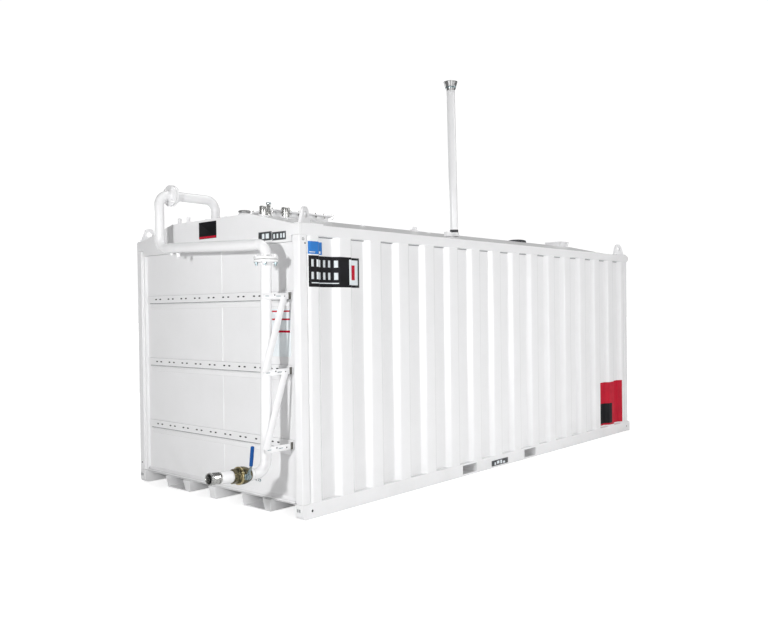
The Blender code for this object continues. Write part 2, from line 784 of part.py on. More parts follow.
def valve_body(brass):
    """The ball valve's body: a turned belly between two collars, and the stem's neck."""
    place = run_matrix()
    middle = (VALVE_START + VALVE_END) / 2
    half = [
        (0.0, VALVE_END), (HEX_FACE_R, VALVE_END), (HEX_R, VALVE_END - HEX_CHAMFER),
        (HEX_R, VALVE_END - HEX_LENGTH), (NECK_R, VALVE_END - NECK_PLACE),
        (BELLY_SIDE_R, middle + BELLY_HALF),
    ]
    other = [(radius, 2 * middle - height) for radius, height in reversed(half)]
    body = add("valve_body", turned_mesh(half + [(BELLY_R, middle)] + other, place), brass)
    stem = place @ Vector((0.0, 0.0, middle))
    join(body, rod_mesh(stem, stem + Vector((STEM_REACH, 0.0, 0.0)), STEM_R, sides=24))
    shade_round(body)
    return stem


def outlet(steel, white):
    """The sleeve beyond the valve, and the nipple with its bore, rim and thread."""
    place = run_matrix()
    profile = [
        (0.0, SLEEVE_END), (SLEEVE_R, SLEEVE_END), (SLEEVE_R, VALVE_END + GAP),
        (0.0, VALVE_END + GAP),
    ]
    shade_round(add("pipe_sleeve", turned_mesh(profile, place), white))
    start, end = SLEEVE_END + GAP, NIPPLE_END
    profile = [
        (0.0, end - NIPPLE_BORE_DEPTH), (NIPPLE_BORE_R, end - NIPPLE_BORE_DEPTH),
        (NIPPLE_BORE_R, end), (NIPPLE_RIM_R, end), (NIPPLE_RIM_R, end - NIPPLE_RIM_LENGTH),
        (NIPPLE_THREAD_R, end - NIPPLE_THREAD_TOP), (NIPPLE_THREAD_R, start + NIPPLE_THREAD_FOOT),
        (NIPPLE_FOOT_R, start + NIPPLE_FOOT_LENGTH), (NIPPLE_FOOT_R, start), (0.0, start),
    ]
    shade_round(add("hose_nipple", turned_mesh(profile, place), steel))


def lever(stem, steel, blue):
    """The valve's cranked lever with its nut, and the grip on its end."""
    hub = stem + Vector((STEM_REACH + GAP, 0.0, 0.0))
    lean = Matrix.Translation(hub) @ Matrix.Rotation(-LEVER_LEAN, 4, "X")
    mesh = outline_mesh(LEVER_LINE, "Y", -LEVER_HALF_WIDTH, LEVER_HALF_WIDTH)
    strip = add("valve_lever", mesh, steel)
    join(strip, rod_mesh((LEVER_NUT[0], 0.0, 0.0), (LEVER_NUT[1], 0.0, 0.0), LEVER_NUT_R, sides=6))
    strip.data.transform(lean)
    grip = add("lever_grip", box_mesh(GRIP_LOW, GRIP_HIGH), blue)
    grip.data.transform(lean)
    round_edges(grip, GRIP_ROUND)


def manway(white):
    """The bolted manway: a low neck and the cover plate on it."""
    (x0, x1), (y0, y1) = MANWAY
    under = MANWAY_TOP - MANWAY_COVER
    neck_low = (x0 + MANWAY_RIM, y0 + MANWAY_RIM, ROOF_TOP + GAP)
    neck_high = (x1 - MANWAY_RIM, y1 - MANWAY_RIM, under - GAP)
    add("manway_neck", box_mesh(neck_low, neck_high), white)
    cover = add("manway_cover", box_mesh((x0, y0, under), (x1, y1, MANWAY_TOP)), white)
    round_edges(cover, MANWAY_ROUND)


def shoulder_z(x):
    """Height of the roof's shoulder at a distance from the middle."""
    share = (abs(x) - ROOF_FLAT) / (ROOF_EDGE - ROOF_FLAT)
    return ROOF_TOP + max(share, 0.0) * (ROOF_EDGE_Z - ROOF_TOP)


def trimmed_to_roof(obj):
    """Cuts away what a roof fitting would sink below the roof's upper face."""
    top, edge = ROOF_TOP + GAP, ROOF_EDGE_Z + GAP
    outline = [
        (-ROOF_EDGE, edge), (-ROOF_FLAT, top), (ROOF_FLAT, top), (ROOF_EDGE, edge),
        (ROOF_EDGE, HEADER_BOTTOM), (-ROOF_EDGE, HEADER_BOTTOM),
    ]
    cut(obj, outline_mesh(outline, "Y", -HALF_L, HALF_L))


def filler_caps(steel):
    """The two capped fittings on the front of the right shoulder."""
    for which, (x, y, top) in FILLER_CAPS.items():
        profile = [
            (0.0, top), (CAP_TOP_R, top), (CAP_R, top - CAP_CHAMFER), (CAP_R, top - CAP_HEIGHT),
            (CAP_RING_R, top - CAP_HEIGHT - LAP), (CAP_RING_R, shoulder_z(x) - ROOF_SINK),
            (0.0, shoulder_z(x) - ROOF_SINK),
        ]
        cap = add(f"filler_cap_{which}", turned_mesh(profile, Matrix.Translation((x, y, 0.0))), steel)
        trimmed_to_roof(cap)
        shade_round(cap)


def vent(white, grey):
    """The tall vent pipe on the right shoulder and its open flared cap."""
    foot = Vector((VENT_X, VENT_Y, shoulder_z(VENT_X) - ROOF_SINK))
    head = Vector((VENT_X, VENT_Y - VENT_LEAN, VENT_TOP))
    pipe = add("vent_pipe", rod_mesh(foot, head, PIPE_R, sides=28), white)
    base_top = foot + Vector((0.0, 0.0, VENT_BASE_HEIGHT))
    join(pipe, rod_mesh(foot, base_top, VENT_BASE_R, sides=28))
    trimmed_to_roof(pipe)
    shade_round(pipe)
    lean = (head - foot).to_track_quat("Z", "Y").to_matrix().to_4x4()
    cap = add("vent_cap", turned_mesh(VENT_CAP, Matrix.Translation(head) @ lean), grey)
    shade_round(cap)


def hatches(white, dark):
    """The low round cap and the small box hatch towards the rear of the roof."""
    place = Matrix.Translation((*ROUND_HATCH, 0.0))
    shade_round(add("round_hatch", turned_mesh(ROUND_HATCH_PROFILE, place), dark))
    hatch = add("box_hatch", box_mesh(BOX_HATCH_LOW, BOX_HATCH_HIGH), white)
    round_edges(hatch, BOX_HATCH_ROUND)


def build():
    """Models every sub-part."""
    clear_scene()
    white = paint("white_paint", (0.80, 0.80, 0.80), 0.45)
    brass = paint("brass", (0.55, 0.42, 0.20), 0.35, 1.0)
    steel = paint("bare_steel", (0.55, 0.55, 0.55), 0.35, 1.0)
    blue = paint("blue_vinyl", (0.03, 0.12, 0.45), 0.5)
    grey = paint("cast_alloy", (0.35, 0.35, 0.35), 0.5, 0.6)
    dark = paint("dark_cap", (0.06, 0.06, 0.06), 0.6)
    for side in (1, -1):
        bottom_rail(side, white)
        top_rail(side, white)
        long_wall(side, white)
        end_pocket(side, white)
        for end in (-1, 1):
            corner_post(side, end, white)
            lifting_lug(side, end, white)
    for end in (-1, 1):
        end_wall(end, white)
    front_header(white)
    roof_panel(white)
    rear_deck(white)
    floor_panel(white)
    centre_runner(white)
    for level, height in STRAP_LEVELS.items():
        strap(level, height, white)
        pipe_bracket(level, height - ARM_DROP, white)
    pipe_strut("upper", "upper", "middle", white)
    pipe_strut("lower", "middle", "lower", white)
    standpipe(white)
    cross_pipe(white)
    roof_pipe(white)
    stem = valve_body(brass)
    outlet(steel, white)
    lever(stem, steel, blue)
    manway(white)
    filler_caps(steel)
    vent(white, grey)
    hatches(white, dark)


build()
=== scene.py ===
"""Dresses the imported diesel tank: folded walls, pipework, fittings, finishes, light and camera.

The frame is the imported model's: the long axis is Y, the fill pipe's end faces -Y, the right side
is +X and Z is up from the ground. Lengths are in metres, but profiles and plates that are given
as numbers are in millimetres, as turned() and plate() say.
"""

import math

import bmesh
import bpy
import numpy as np
from bpy.props import FloatProperty, FloatVectorProperty, PointerProperty
from mathutils import Matrix, Vector


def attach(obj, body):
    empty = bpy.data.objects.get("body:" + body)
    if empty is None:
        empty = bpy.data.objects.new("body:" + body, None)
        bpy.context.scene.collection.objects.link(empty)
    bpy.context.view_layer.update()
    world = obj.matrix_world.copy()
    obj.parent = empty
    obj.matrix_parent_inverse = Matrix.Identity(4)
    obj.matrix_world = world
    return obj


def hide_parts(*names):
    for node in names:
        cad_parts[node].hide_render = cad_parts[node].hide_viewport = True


bl_info = {
    "name": "Diesel tank dressing",
    "version": (1, 0, 0),
    "blender": (4, 5, 0),
    "location": "View3D > Sidebar > Diesel tank",
    "description": "Dresses the packed diesel tank with folded walls, pipework and finishes",
    "category": "Object",
}

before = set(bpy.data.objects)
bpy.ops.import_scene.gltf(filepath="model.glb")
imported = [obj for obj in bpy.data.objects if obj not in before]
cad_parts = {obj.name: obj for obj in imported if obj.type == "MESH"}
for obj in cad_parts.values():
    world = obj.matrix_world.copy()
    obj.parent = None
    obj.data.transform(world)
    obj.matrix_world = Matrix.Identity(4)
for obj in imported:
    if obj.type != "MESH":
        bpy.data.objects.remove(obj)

# Frame of the tank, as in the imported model
HALF_L = 3.029
HALF_W = 1.219
GAP = 0.0003
RAIL_TOP = 0.125
TOP_RAIL_BOTTOM = 2.33
POST_SIDE = 0.08
POST_STEP = 0.11
ROOF_TOP = 2.555
ROOF_FLAT = 0.58
ROOF_EDGE = 1.1437
ROOF_EDGE_Z = 2.425
HEADER_BOTTOM = 2.28
END_FACE = -2.985

# Long walls: 15 recesses between slanted folds, and the heights of a grey strip at their heads,
# painted shade under the top rail
WALL_OUTER = 1.214
RIB_COUNT = 15
RIB_PITCH = 0.3877
RIB_START = -2.81
RIB_DEPTH = 0.046
RIB_SLANT = 0.048
RIB_FLOOR = 0.150
RECESS_HEAD_SHADE = (2.3185, 2.3292)
SHEET_RIPPLE = 0.0008

# Straps, their backing plates, and the end wall's lip
STRAP_LEVELS = {"upper": 1.842, "middle": 1.226, "lower": 0.607}
STRAP_HALF = 1.085
STRAP_CELL = 0.022
STRAP_MARGIN = 0.030
STRAP_BENDS = (0.036, -0.033)
STRAP_FOOT = -0.0475
STRAP_THICK = 0.012
DOUBLER_HALF = 1.045
DOUBLER_ENDS = (-0.0945, 0.0275)
DOUBLER_THICK = 0.005
SLOT_HALF_HEIGHT = 0.0065
PAIR_START = -0.8975
PAIR_PITCH = 0.2187
PAIR_COUNT = 9
PAIR_HALF = 0.0375
LIP_REACH = 0.030
LIP_FOOT = 0.1262
LIP_TOP = 0.165

# Pipework. Heights along the valve's run are counted from the foot bend's corner.
PIPE_RADIUS = 0.0445
BOLT_CIRCLE = 0.077
FLANGE_THICK = 0.022
PIPE_X = 1.03
PIPE_TOP_Y = -3.217
PIPE_FOOT_Y = -3.251
RUN_Z = 0.410
RUN_TILT = math.radians(4.0)
VALVE_START = 0.145
VALVE_MIDDLE = 0.245
LEVER_LEAN = math.radians(7.0)
FLANGE_Z = 2.127
CROSS_Z = 2.250
RISER_X = -0.506
RISER_CROSS_Z = 2.311
ROOF_RUN_Z = 2.815
ROOF_FLANGE_Y = -3.086
DOWN_Y = -2.582
ARM_X = PIPE_X + PIPE_RADIUS + GAP
ARM_THICK = 0.008
ARM_FRONT = -3.303
ARM_HALF = 0.027
BRACE_ENDS = (-3.080, -3.290)

# Roof fittings
MANWAY = ((0.16, 0.472), (-2.67, -1.88))
MANWAY_TOP = 2.635
FILLER_CAPS = {"front": (0.66, -2.930, 2.620), "rear": (0.64, -2.662, 2.634)}
ROUND_HATCH = (0.44, 1.46)
ROUND_HATCH_RIBS = 24
VENT_X = 0.87
VENT_Y = -0.466
VENT_LEAN = 0.031
VENT_TOP = 4.055

# The photograph's camera
CAMERA_PLACE = (5.968302, -7.328251, 1.702753)
CAMERA_AZIMUTH = 0.729112
CAMERA_ELEVATION = 0.011933
CAMERA_ROLL = -0.013029
CAMERA_LENS = 36.0 * 787.362 / 768.0

# The room's white for the lens, the light that it gives, and the floor's lift near the tank
ROOM_WHITE = 1.05
ROOM_LIGHT = 0.249
FLOOR_GLOW = 0.60
# Name, watts, width and height, place, the point that it faces, and its grid's angle in degrees
SOFT_BOXES = (
    ("front_key", 198.0, (0.35, 0.35), (2.6, -8.4, 2.5), (0.6, -3.0, 1.2), 180.0),
    ("side_near_box", 139.0, (4.0, 4.0), (9.0, -5.5, 1.2), (1.2, -1.5, 1.1), 120.0),
    ("side_middle_box", 28.0, (3.6, 3.6), (9.0, 1.2, 1.3), (1.2, 0.6, 1.2), 75.0),
    ("side_far_box", 66.0, (3.6, 3.0), (8.0, 6.0, 6.2), (1.2, 1.2, 1.3), 90.0),
    ("top_box", 239.0, (2.2, 6.0), (0.0, 0.0, 9.0), (0.0, 0.0, 2.0), 180.0),
    ("left_box", 260.0, (5.0, 3.0), (-9.0, 0.5, 2.6), (-1.2, 0.2, 1.3), 180.0),
    ("rear_box", 190.0, (1.5, 1.5), (-2.6, 8.8, 2.5), (0.0, 3.0, 1.2), 180.0),
)

MERGE = 1e-6
TURN = 2 * math.pi
WHITE = "sprayed_topcoat"
ZINC = "zinc_plate"
STEEL = "turned_stainless"
RUBBER_AND_SHADE = "moulded_rubber"
SHADE_GREY = "joint_sealant"
PALE = "pale_vinyl"
RED = "stripe_vinyl"


def linear(code):
    """An sRGB hex colour such as #F0F0EE as linear red, green and blue."""
    parts = [int(code[place:place + 2], 16) / 255 for place in (1, 3, 5)]
    return tuple(
        part / 12.92 if part <= 0.04045 else ((part + 0.055) / 1.055) ** 2.4 for part in parts
    )


# ------------------------------------------------------------------ what a user would change


def length(name, text, default, low, high):
    """A length that the user can set."""
    return FloatProperty(name=name, description=text, default=default, min=low, max=high,
                         subtype="DISTANCE", unit="LENGTH")


def colour(name, text, code):
    """A colour that the user can set."""
    return FloatVectorProperty(name=name, description=text, default=linear(code), size=3,
                               min=0.0, max=1.0, subtype="COLOR")


class TankSizes(bpy.types.PropertyGroup):
    """Sizes of the details that dress the tank."""

    fold: length("Fold radius", "Radius of the folds in the long walls", 0.013, 0.002, 0.03)
    edge: length("Edge radius", "Rounding on rails, posts and plates", 0.004, 0.0005, 0.008)
    slot: length("Strap slot", "Length of the slots in the straps", 0.030, 0.01, 0.04)
    bead: length("Weld bead", "Radius of the weld beads on the pipes", 0.0035, 0.001, 0.006)


class TankColours(bpy.types.PropertyGroup):
    """Colours of the finishes."""

    paint: colour("Paint", "Colour of the topcoat on the steel", "#EEEEEF")
    grip: colour("Grip", "Colour of the dipped vinyl on the lever", "#004C92")
    brass: colour("Brass", "Colour of the valve's forged body", "#7C7459")
    sign: colour("Sign", "Colour of the large blank sign", "#0A0A0E")
    notice: colour("Notice", "Colour of the small blank panel above the sign", "#2E7AC8")
    stripe: colour("Stripe", "Colour of the stripes on the blank signs", "#C2122F")


# ------------------------------------------------------------------ shapes as arrays of points


def grid(points, slot=0, wrap_rows=False, wrap_columns=False, flip=False):
    """A surface through rows and columns of points: four neighbours make one face.

    It faces (next column - this one) x (next row - this one), or the other way if flipped.
    """
    rows, columns = points.shape[:2]
    index = np.arange(rows * columns).reshape(rows, columns)
    if wrap_rows:
        index = np.vstack([index, index[:1]])
    if wrap_columns:
        index = np.hstack([index, index[:, :1]])
    quads = np.stack(
        [index[:-1, :-1], index[:-1, 1:], index[1:, 1:], index[1:, :-1]], axis=-1
    ).reshape(-1, 4)
    return points.reshape(-1, 3), [quads[:, ::-1] if flip else quads], slot


def points_of(x, y, z):
    """Rows and columns of points from arrays that are first spread over each other."""
    return np.stack(np.broadcast_arrays(x, y, z), axis=-1)


def around(radius, angle, level):
    """Points about Z: (r cos a, r sin a, level)."""
    return points_of(radius * np.cos(angle), radius * np.sin(angle), level)


def placed(points, place):
    """Points moved by a 4 x 4 matrix: turned by its corner, then shifted by its last column."""
    rows = np.array(place)
    return points @ rows[:3, :3].T + rows[:3, 3]


def facing(origin, axis):
    """A matrix that puts a shape made along +Z at origin, along axis."""
    turn = Vector(axis).normalized().to_track_quat("Z", "Y").to_matrix().to_4x4()
    return Matrix.Translation(Vector(origin)) @ turn


def shifted(place, x=0.0, y=0.0, z=0.0):
    """A matrix moved along its own axes."""
    return place @ Matrix.Translation((x, y, z))


def soften(corners, radius, steps=4, closed=False):
    """Rounds the corners of a line of points.

    Each corner c becomes the curve (1-t)^2 a + 2t(1-t) c + t^2 b, where a and b lie the radius
    away along its two sides, and at most 48% of a side.
    """
    corners = np.asarray(corners, float)
    reach = np.broadcast_to(np.asarray(radius, float), (len(corners),))[:, None]

    def towards(other):
        side = other - corners
        run = np.maximum(np.linalg.norm(side, axis=1, keepdims=True), MERGE)
        return corners + side / run * np.minimum(reach, 0.48 * run)

    first, last = towards(np.roll(corners, 1, 0)), towards(np.roll(corners, -1, 0))
    share = np.linspace(0.0, 1.0, steps + 1)[:, None, None]
    curve = (1 - share) ** 2 * first + 2 * share * (1 - share) * corners + share ** 2 * last
    curve = curve.transpose(1, 0, 2)
    if closed:
        return curve.reshape(-1, corners.shape[1])
    inner = curve[1:-1].reshape(-1, corners.shape[1])
    return np.vstack([corners[:1], inner, corners[-1:]])


def filled_in(line, step):
    """The same line with points added so that no gap between neighbours is much over step."""
    line = np.asarray(line, float)
    run = np.concatenate([[0.0], np.cumsum(np.linalg.norm(np.diff(line, axis=0), axis=1))])
    stations = np.union1d(run, np.arange(0.0, run[-1], step))
    stations = stations[np.concatenate([[True], np.diff(stations) > 1e-5])]
    return np.stack([np.interp(stations, run, column) for column in line.T], axis=1)


def spans(low, high, count):
    """Even stations from low to high, and one more 1 mm inside each end.

    The short end rows keep the rounded shading of a sheet's cut edge off its face.
    """
    even = np.linspace(low, high, count)
    return np.concatenate([[low, low + 0.001], even[1:-1], [high - 0.001, high]])


def turned(profile, place=Matrix.Identity(4), sides=48, slot=0, radius=None, steps=4, ring=False):
    """A profile of (radius, height) in mm turned about Z: x = r cos a, y = r sin a, z = h.

    Its corners are rounded by a radius in mm, and its outer side runs from top to bottom. A
    ring's profile is closed and misses the axis; any other is closed to the axis at its ends.
    """
    profile = np.asarray(profile, float) / 1000
    if not ring and profile[0, 0]:
        profile = np.vstack([profile[:1] * (0, 1), profile])
    if not ring and profile[-1, 0]:
        profile = np.vstack([profile, profile[-1:] * (0, 1)])
    if radius is not None:
        profile = soften(profile, np.asarray(radius) / 1000, steps, ring)
    angle = np.arange(sides)[:, None] * TURN / sides
    points = around(profile[:, 0], angle, profile[:, 1])
    return grid(placed(points, place), slot, wrap_rows=True, wrap_columns=ring)


def frames_along(path, closed=False):
    """Two directions square to a path at each point, which don't twist about it."""
    if closed:
        tangent = np.roll(path, -1, 0) - np.roll(path, 1, 0)
    else:
        tangent = np.gradient(path, axis=0)
    tangent /= np.linalg.norm(tangent, axis=1, keepdims=True)
    start = np.array([0.0, 0.0, 1.0]) if abs(tangent[0, 2]) < 0.8 else np.array([1.0, 0.0, 0.0])
    normal = np.zeros_like(path)
    for station, along in enumerate(tangent):
        start = start - along * (start @ along)
        start /= np.linalg.norm(start)
        normal[station] = start
    return normal, np.cross(tangent, normal)


def circle(sides):
    """A circle of radius 1 as (cos a, sin a)."""
    angle = np.arange(sides) * TURN / sides
    return np.stack([np.cos(angle), np.sin(angle)], axis=1)


def swept(path, section, scale=1.0, slot=0, closed=False):
    """A closed section carried along a path: p + n s a + b s c for each section point (a, c).

    n and b are the path's normals there and s the scale, one number or one pair a station. The
    ends are closed by a point in their middle.
    """
    path = np.asarray(path, float)
    normal, side = frames_along(path, closed)
    scale = np.asarray(scale, float)
    scale = np.broadcast_to(scale[:, None] if scale.ndim == 1 else scale, (len(path), 2))
    points = (
        path[:, None]
        + normal[:, None] * (scale[:, :1] * section[None, :, 0])[..., None]
        + side[:, None] * (scale[:, 1:] * section[None, :, 1])[..., None]
    )
    if not closed:
        cap = np.ones((1, len(section), 1))
        points = np.concatenate([path[0] * cap, points, path[-1] * cap])
    return grid(points, slot, wrap_rows=closed, wrap_columns=True)


def slab(outline, low, high, across="Z", edge=0.002, slot=0):
    """A flat outline given a thickness from low to high, with rounded edges.

    Rings of the outline are stacked: at angle a each is drawn in by edge (1 - sin a) and stands
    edge (1 - cos a) inside the face. Points are (y, z) across X, (x, z) across Y, (x, y)
    across Z.
    """
    outline = np.asarray(outline, float)
    if across == "Y":
        outline = outline[:, ::-1]
    after = np.roll(outline, -1, 0)
    if np.sum(outline[:, 0] * after[:, 1] - outline[:, 1] * after[:, 0]) < 0:
        outline = outline[::-1]
    side = np.roll(outline, -1, 0) - outline
    side /= np.maximum(np.linalg.norm(side, axis=1, keepdims=True), MERGE)
    out = np.stack([side[:, 1], -side[:, 0]], axis=1)
    before = np.roll(out, 1, 0)
    reach = (out + before) / np.maximum(1 + np.sum(out * before, axis=1, keepdims=True), 0.3)
    angle = np.linspace(0.0, math.pi / 2, 3)
    inset, rise = edge * (1 - np.sin(angle)), edge * (1 - np.cos(angle))
    inset = np.concatenate([inset, inset[::-1]])
    height = np.concatenate([low + rise, high - rise[::-1]])
    flat = outline[None] - reach[None] * inset[:, None, None]
    points = points_of(flat[..., 0], flat[..., 1], height[:, None])
    order = {"Z": (0, 1, 2), "X": (2, 0, 1), "Y": (1, 2, 0)}[across]
    points, faces, slot = grid(points[..., order], slot, wrap_columns=True)
    count = len(outline)
    top = np.arange(count)[None] + count * (len(height) - 1)
    return points, faces + [np.arange(count)[None, ::-1], top], slot


def rectangle(low, high, corner=0.004, steps=4):
    """The outline of a rectangle between two corners, with rounded corners."""
    (x0, y0), (x1, y1) = low, high
    return soften([(x0, y0), (x1, y0), (x1, y1), (x0, y1)], corner, steps, closed=True)


def plate(x0, y0, x1, y1, corner, low, high, across="Y", edge=0.4, slot=0, steps=4):
    """A rounded rectangle given a thickness from low to high, all in mm."""
    x0, y0, x1, y1, corner, low, high, edge = (
        value / 1000 for value in (x0, y0, x1, y1, corner, low, high, edge)
    )
    return slab(rectangle((x0, y0), (x1, y1), corner, steps), low, high, across, edge, slot)


def block(low, high, across="Z", corner=0.004, edge=0.002, slot=0):
    """A box between two corners, with rounded corners and edges."""
    first, second, third = {"X": (1, 2, 0), "Y": (0, 2, 1), "Z": (0, 1, 2)}[across]
    outline = rectangle((low[first], low[second]), (high[first], high[second]), corner)
    return slab(outline, low[third], high[third], across, edge, slot)


def hexagon(angle):
    """How far a hexagon of inner radius 1 reaches at angle a: 1 / cos of its nearest flat's."""
    return 1 / np.cos((angle + math.pi / 6) % (math.pi / 3) - math.pi / 6)


def nut(place, flats, height, slot=0):
    """A six-sided nut or bolt head on its washer face.

    The radius at an angle is half the flats times the hexagon's reach. The top row is drawn in
    to a circle, which gives the chamfer.
    """
    angle = np.arange(24) * TURN / 24
    rim, top = flats / 2 * hexagon(angle), np.full(24, flats * 0.49)
    radius = np.stack([0 * rim, rim, rim, top, 0 * rim])
    level = np.array([0.0, 0.0, height * 0.88, height, height])[:, None]
    return grid(placed(around(radius, angle, level), place), slot, wrap_columns=True)


def fastener(place, thread, slot=0, stud=0.6):
    """A washer, a nut and the end of its stud, seated at a place. thread is in mm."""
    base = thread * 0.18
    top = base + thread * (0.8 + stud)
    wide = thread * 1.04
    return [
        turned([(thread * 0.98, base), (wide, base * 0.6), (wide, 0)], place, 24, slot),
        nut(shifted(place, z=base / 1000), thread * 0.00155, thread * 0.0008, slot),
        turned([(thread * 0.40, top), (thread * 0.5, top - thread * 0.12), (thread * 0.5, base)],
               place, 16, slot),
    ]


def ring_bead(place, radius, bead, slot=0):
    """A weld bead round a pipe: a small circle carried round a large one.

    The bead's radius is bead (1 + 0.13 cos(n a)): n lumps, 9 mm apart, that a welder leaves.
    """
    lumps = int(TURN * radius / 0.009)
    angle = np.arange(lumps * 4) * TURN / (lumps * 4)
    scale = bead * (1 + 0.13 * np.cos(lumps * angle))
    return swept(placed(around(radius, angle, 0.0), place), circle(8), scale, slot, closed=True)


def line_bead(start, end, bead, slot=0, pitch=0.012):
    """A weld bead along a straight joint, with the same ripple at a pitch along the line."""
    start, end = np.array(start, float), np.array(end, float)
    reach = np.linalg.norm(end - start)
    share = np.linspace(0.0, 1.0, max(int(reach / pitch * 3), 4))
    scale = bead * (1 + 0.12 * np.cos(TURN * share * reach / pitch))
    return swept(start + (end - start) * share[:, None], circle(6), scale, slot)


def bend_line(corners, radius):
    """Points along straight runs with an arc of one radius at each corner, and the arcs' ends.

    An arc's centre stands radius / sin(h) from the corner along the bisector, where h is half
    the angle between the runs, and each point is the first turned about it by its share.
    """
    corners = [Vector(corner) for corner in corners]
    points, joints, steps = [corners[0]], [], 14
    for before, corner, after in zip(corners, corners[1:], corners[2:]):
        towards, away = (before - corner).normalized(), (after - corner).normalized()
        half = towards.angle(away) / 2
        reach = radius / math.tan(half)
        centre = corner + (towards + away).normalized() * (radius / math.sin(half))
        first, last = corner + towards * reach - centre, corner + away * reach - centre
        axis, sweep = first.cross(last).normalized(), first.angle(last)
        for step in range(steps + 1):
            points.append(centre + Matrix.Rotation(sweep * step / steps, 3, axis) @ first)
        joints += [(centre + first, -towards), (centre + last, away)]
    points.append(corners[-1])
    return filled_in(np.array([tuple(point) for point in points]), 0.08), joints


# ------------------------------------------------------------------ objects


def merge(mesh, flat=False):
    """Merges the points of a mesh that meet, and if flat also the faces in one plane."""
    bm = bmesh.new()
    bm.from_mesh(mesh)
    bmesh.ops.remove_doubles(bm, verts=bm.verts, dist=2e-5 if flat else MERGE)
    if flat:
        bmesh.ops.dissolve_limit(
            bm, angle_limit=math.radians(0.4), verts=bm.verts, edges=bm.edges
        )
    bm.to_mesh(mesh)
    bm.free()


def linked(name, mesh, sharp):
    """An object of a mesh, shaded smooth up to an angle between faces."""
    mesh.shade_smooth()
    mesh.set_sharp_from_angle(angle=math.radians(sharp))
    obj = bpy.data.objects.new(name, mesh)
    bpy.context.scene.collection.objects.link(obj)
    return obj


def piece(name, shapes, *finishes, body="tank", stands_for=(), sharp=38.0):
    """Makes one object of several shapes, gives it its finishes and lets it ride on its body."""
    points, faces, slots, count = [], [], [], 0
    for shape_points, shape_faces, finish in shapes:
        points.append(shape_points.reshape(-1, 3))
        for rows in shape_faces:
            faces += (rows + count).tolist()
            slots += [finish] * len(rows)
        count += len(points[-1])
    mesh = bpy.data.meshes.new(name)
    mesh.from_pydata(np.vstack(points).tolist(), [], faces)
    mesh.polygons.foreach_set("material_index", slots)
    merge(mesh)
    obj = linked(name, mesh, sharp)
    for finish in finishes:
        mesh.materials.append(finish_named(finish))
    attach(obj, body)
    if stands_for:
        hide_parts(*stands_for)
    return obj


def eased(obj, width, segments=3):
    """Rounds the sharp edges of a piece."""
    bevel = obj.modifiers.new("eased edges", "BEVEL")
    bevel.width = width
    bevel.segments = segments
    bevel.limit_method = "ANGLE"
    bevel.angle_limit = math.radians(32.0)
    bevel.harden_normals = True


def thickened(obj, thickness):
    """Gives a sheet its thickness, inwards from its face."""
    sheet = obj.modifiers.new("sheet", "SOLIDIFY")
    sheet.thickness = thickness
    sheet.offset = -1.0


def painted(node, width):
    """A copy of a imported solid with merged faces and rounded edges, shown in its place."""
    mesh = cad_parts[node].data.copy()
    mesh.materials.clear()
    mesh.materials.append(finish_named(WHITE))
    merge(mesh, flat=True)
    mesh.polygons.foreach_set("material_index", [0] * len(mesh.polygons))
    obj = linked(f"painted_{node}", mesh, 32.0)
    eased(obj, width)
    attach(obj, "tank")
    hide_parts(node)


# ------------------------------------------------------------------ finishes


def put(tree, kind, settings=None, links=None):
    """Adds one node: settings fill its properties or inputs, links feed its inputs."""
    node = tree.nodes.new(kind)
    for key, value in (settings or {}).items():
        if isinstance(key, str) and key in node.bl_rna.properties:
            setattr(node, key, value)
        else:
            node.inputs[key].default_value = value
    for key, source in (links or {}).items():
        tree.links.new(source, node.inputs[key])
    return node


def noise(tree, place, scale, detail, **settings):
    """A noise of a scale and detail; its patches are about 1 / scale metres across."""
    settings = {"Scale": scale, "Detail": detail, **settings}
    return put(tree, "ShaderNodeTexNoise", settings, {"Vector": place}).outputs[0]


def ranged(tree, value, low, high, first=0.0, last=1.0, **settings):
    """A value between low and high spread from first to last."""
    settings.update({"From Min": low, "From Max": high, "To Min": first, "To Max": last})
    return put(tree, "ShaderNodeMapRange", settings, {"Value": value}).outputs[0]


def joined(tree, operation, first, second):
    """Two values added or multiplied."""
    return put(tree, "ShaderNodeMath", {"operation": operation}, {0: first, 1: second}).outputs[0]


def new_finish(name, base, roughness, **sockets):
    """A material with its shader's plain numbers set, and the object's own coordinates."""
    material = bpy.data.materials.new(name)
    material.use_nodes = True
    tree = material.node_tree
    shader = tree.nodes["Principled BSDF"]
    shader.inputs["Base Color"].default_value = (*base, 1.0)
    shader.inputs["Roughness"].default_value = roughness
    for key, value in sockets.items():
        shader.inputs[key.replace("_", " ")].default_value = value
    place = put(tree, "ShaderNodeTexCoord").outputs["Object"]
    return material, tree, shader, place


def mixed(tree, shader, factor, first, second):
    """Feeds a colour between two into a shader by a factor."""
    colours = {"data_type": "RGBA", 6: (*first, 1.0), 7: (*second, 1.0)}
    mix = put(tree, "ShaderNodeMix", colours, {0: factor})
    tree.links.new(mix.outputs[2], shader.inputs["Base Color"])


def raised(tree, shader, height, strength, distance):
    """Feeds a bump from a height into a shader's normal."""
    settings = {"Strength": strength, "Distance": distance}
    bump = put(tree, "ShaderNodeBump", settings, {"Height": height})
    tree.links.new(bump.outputs["Normal"], shader.inputs["Normal"])


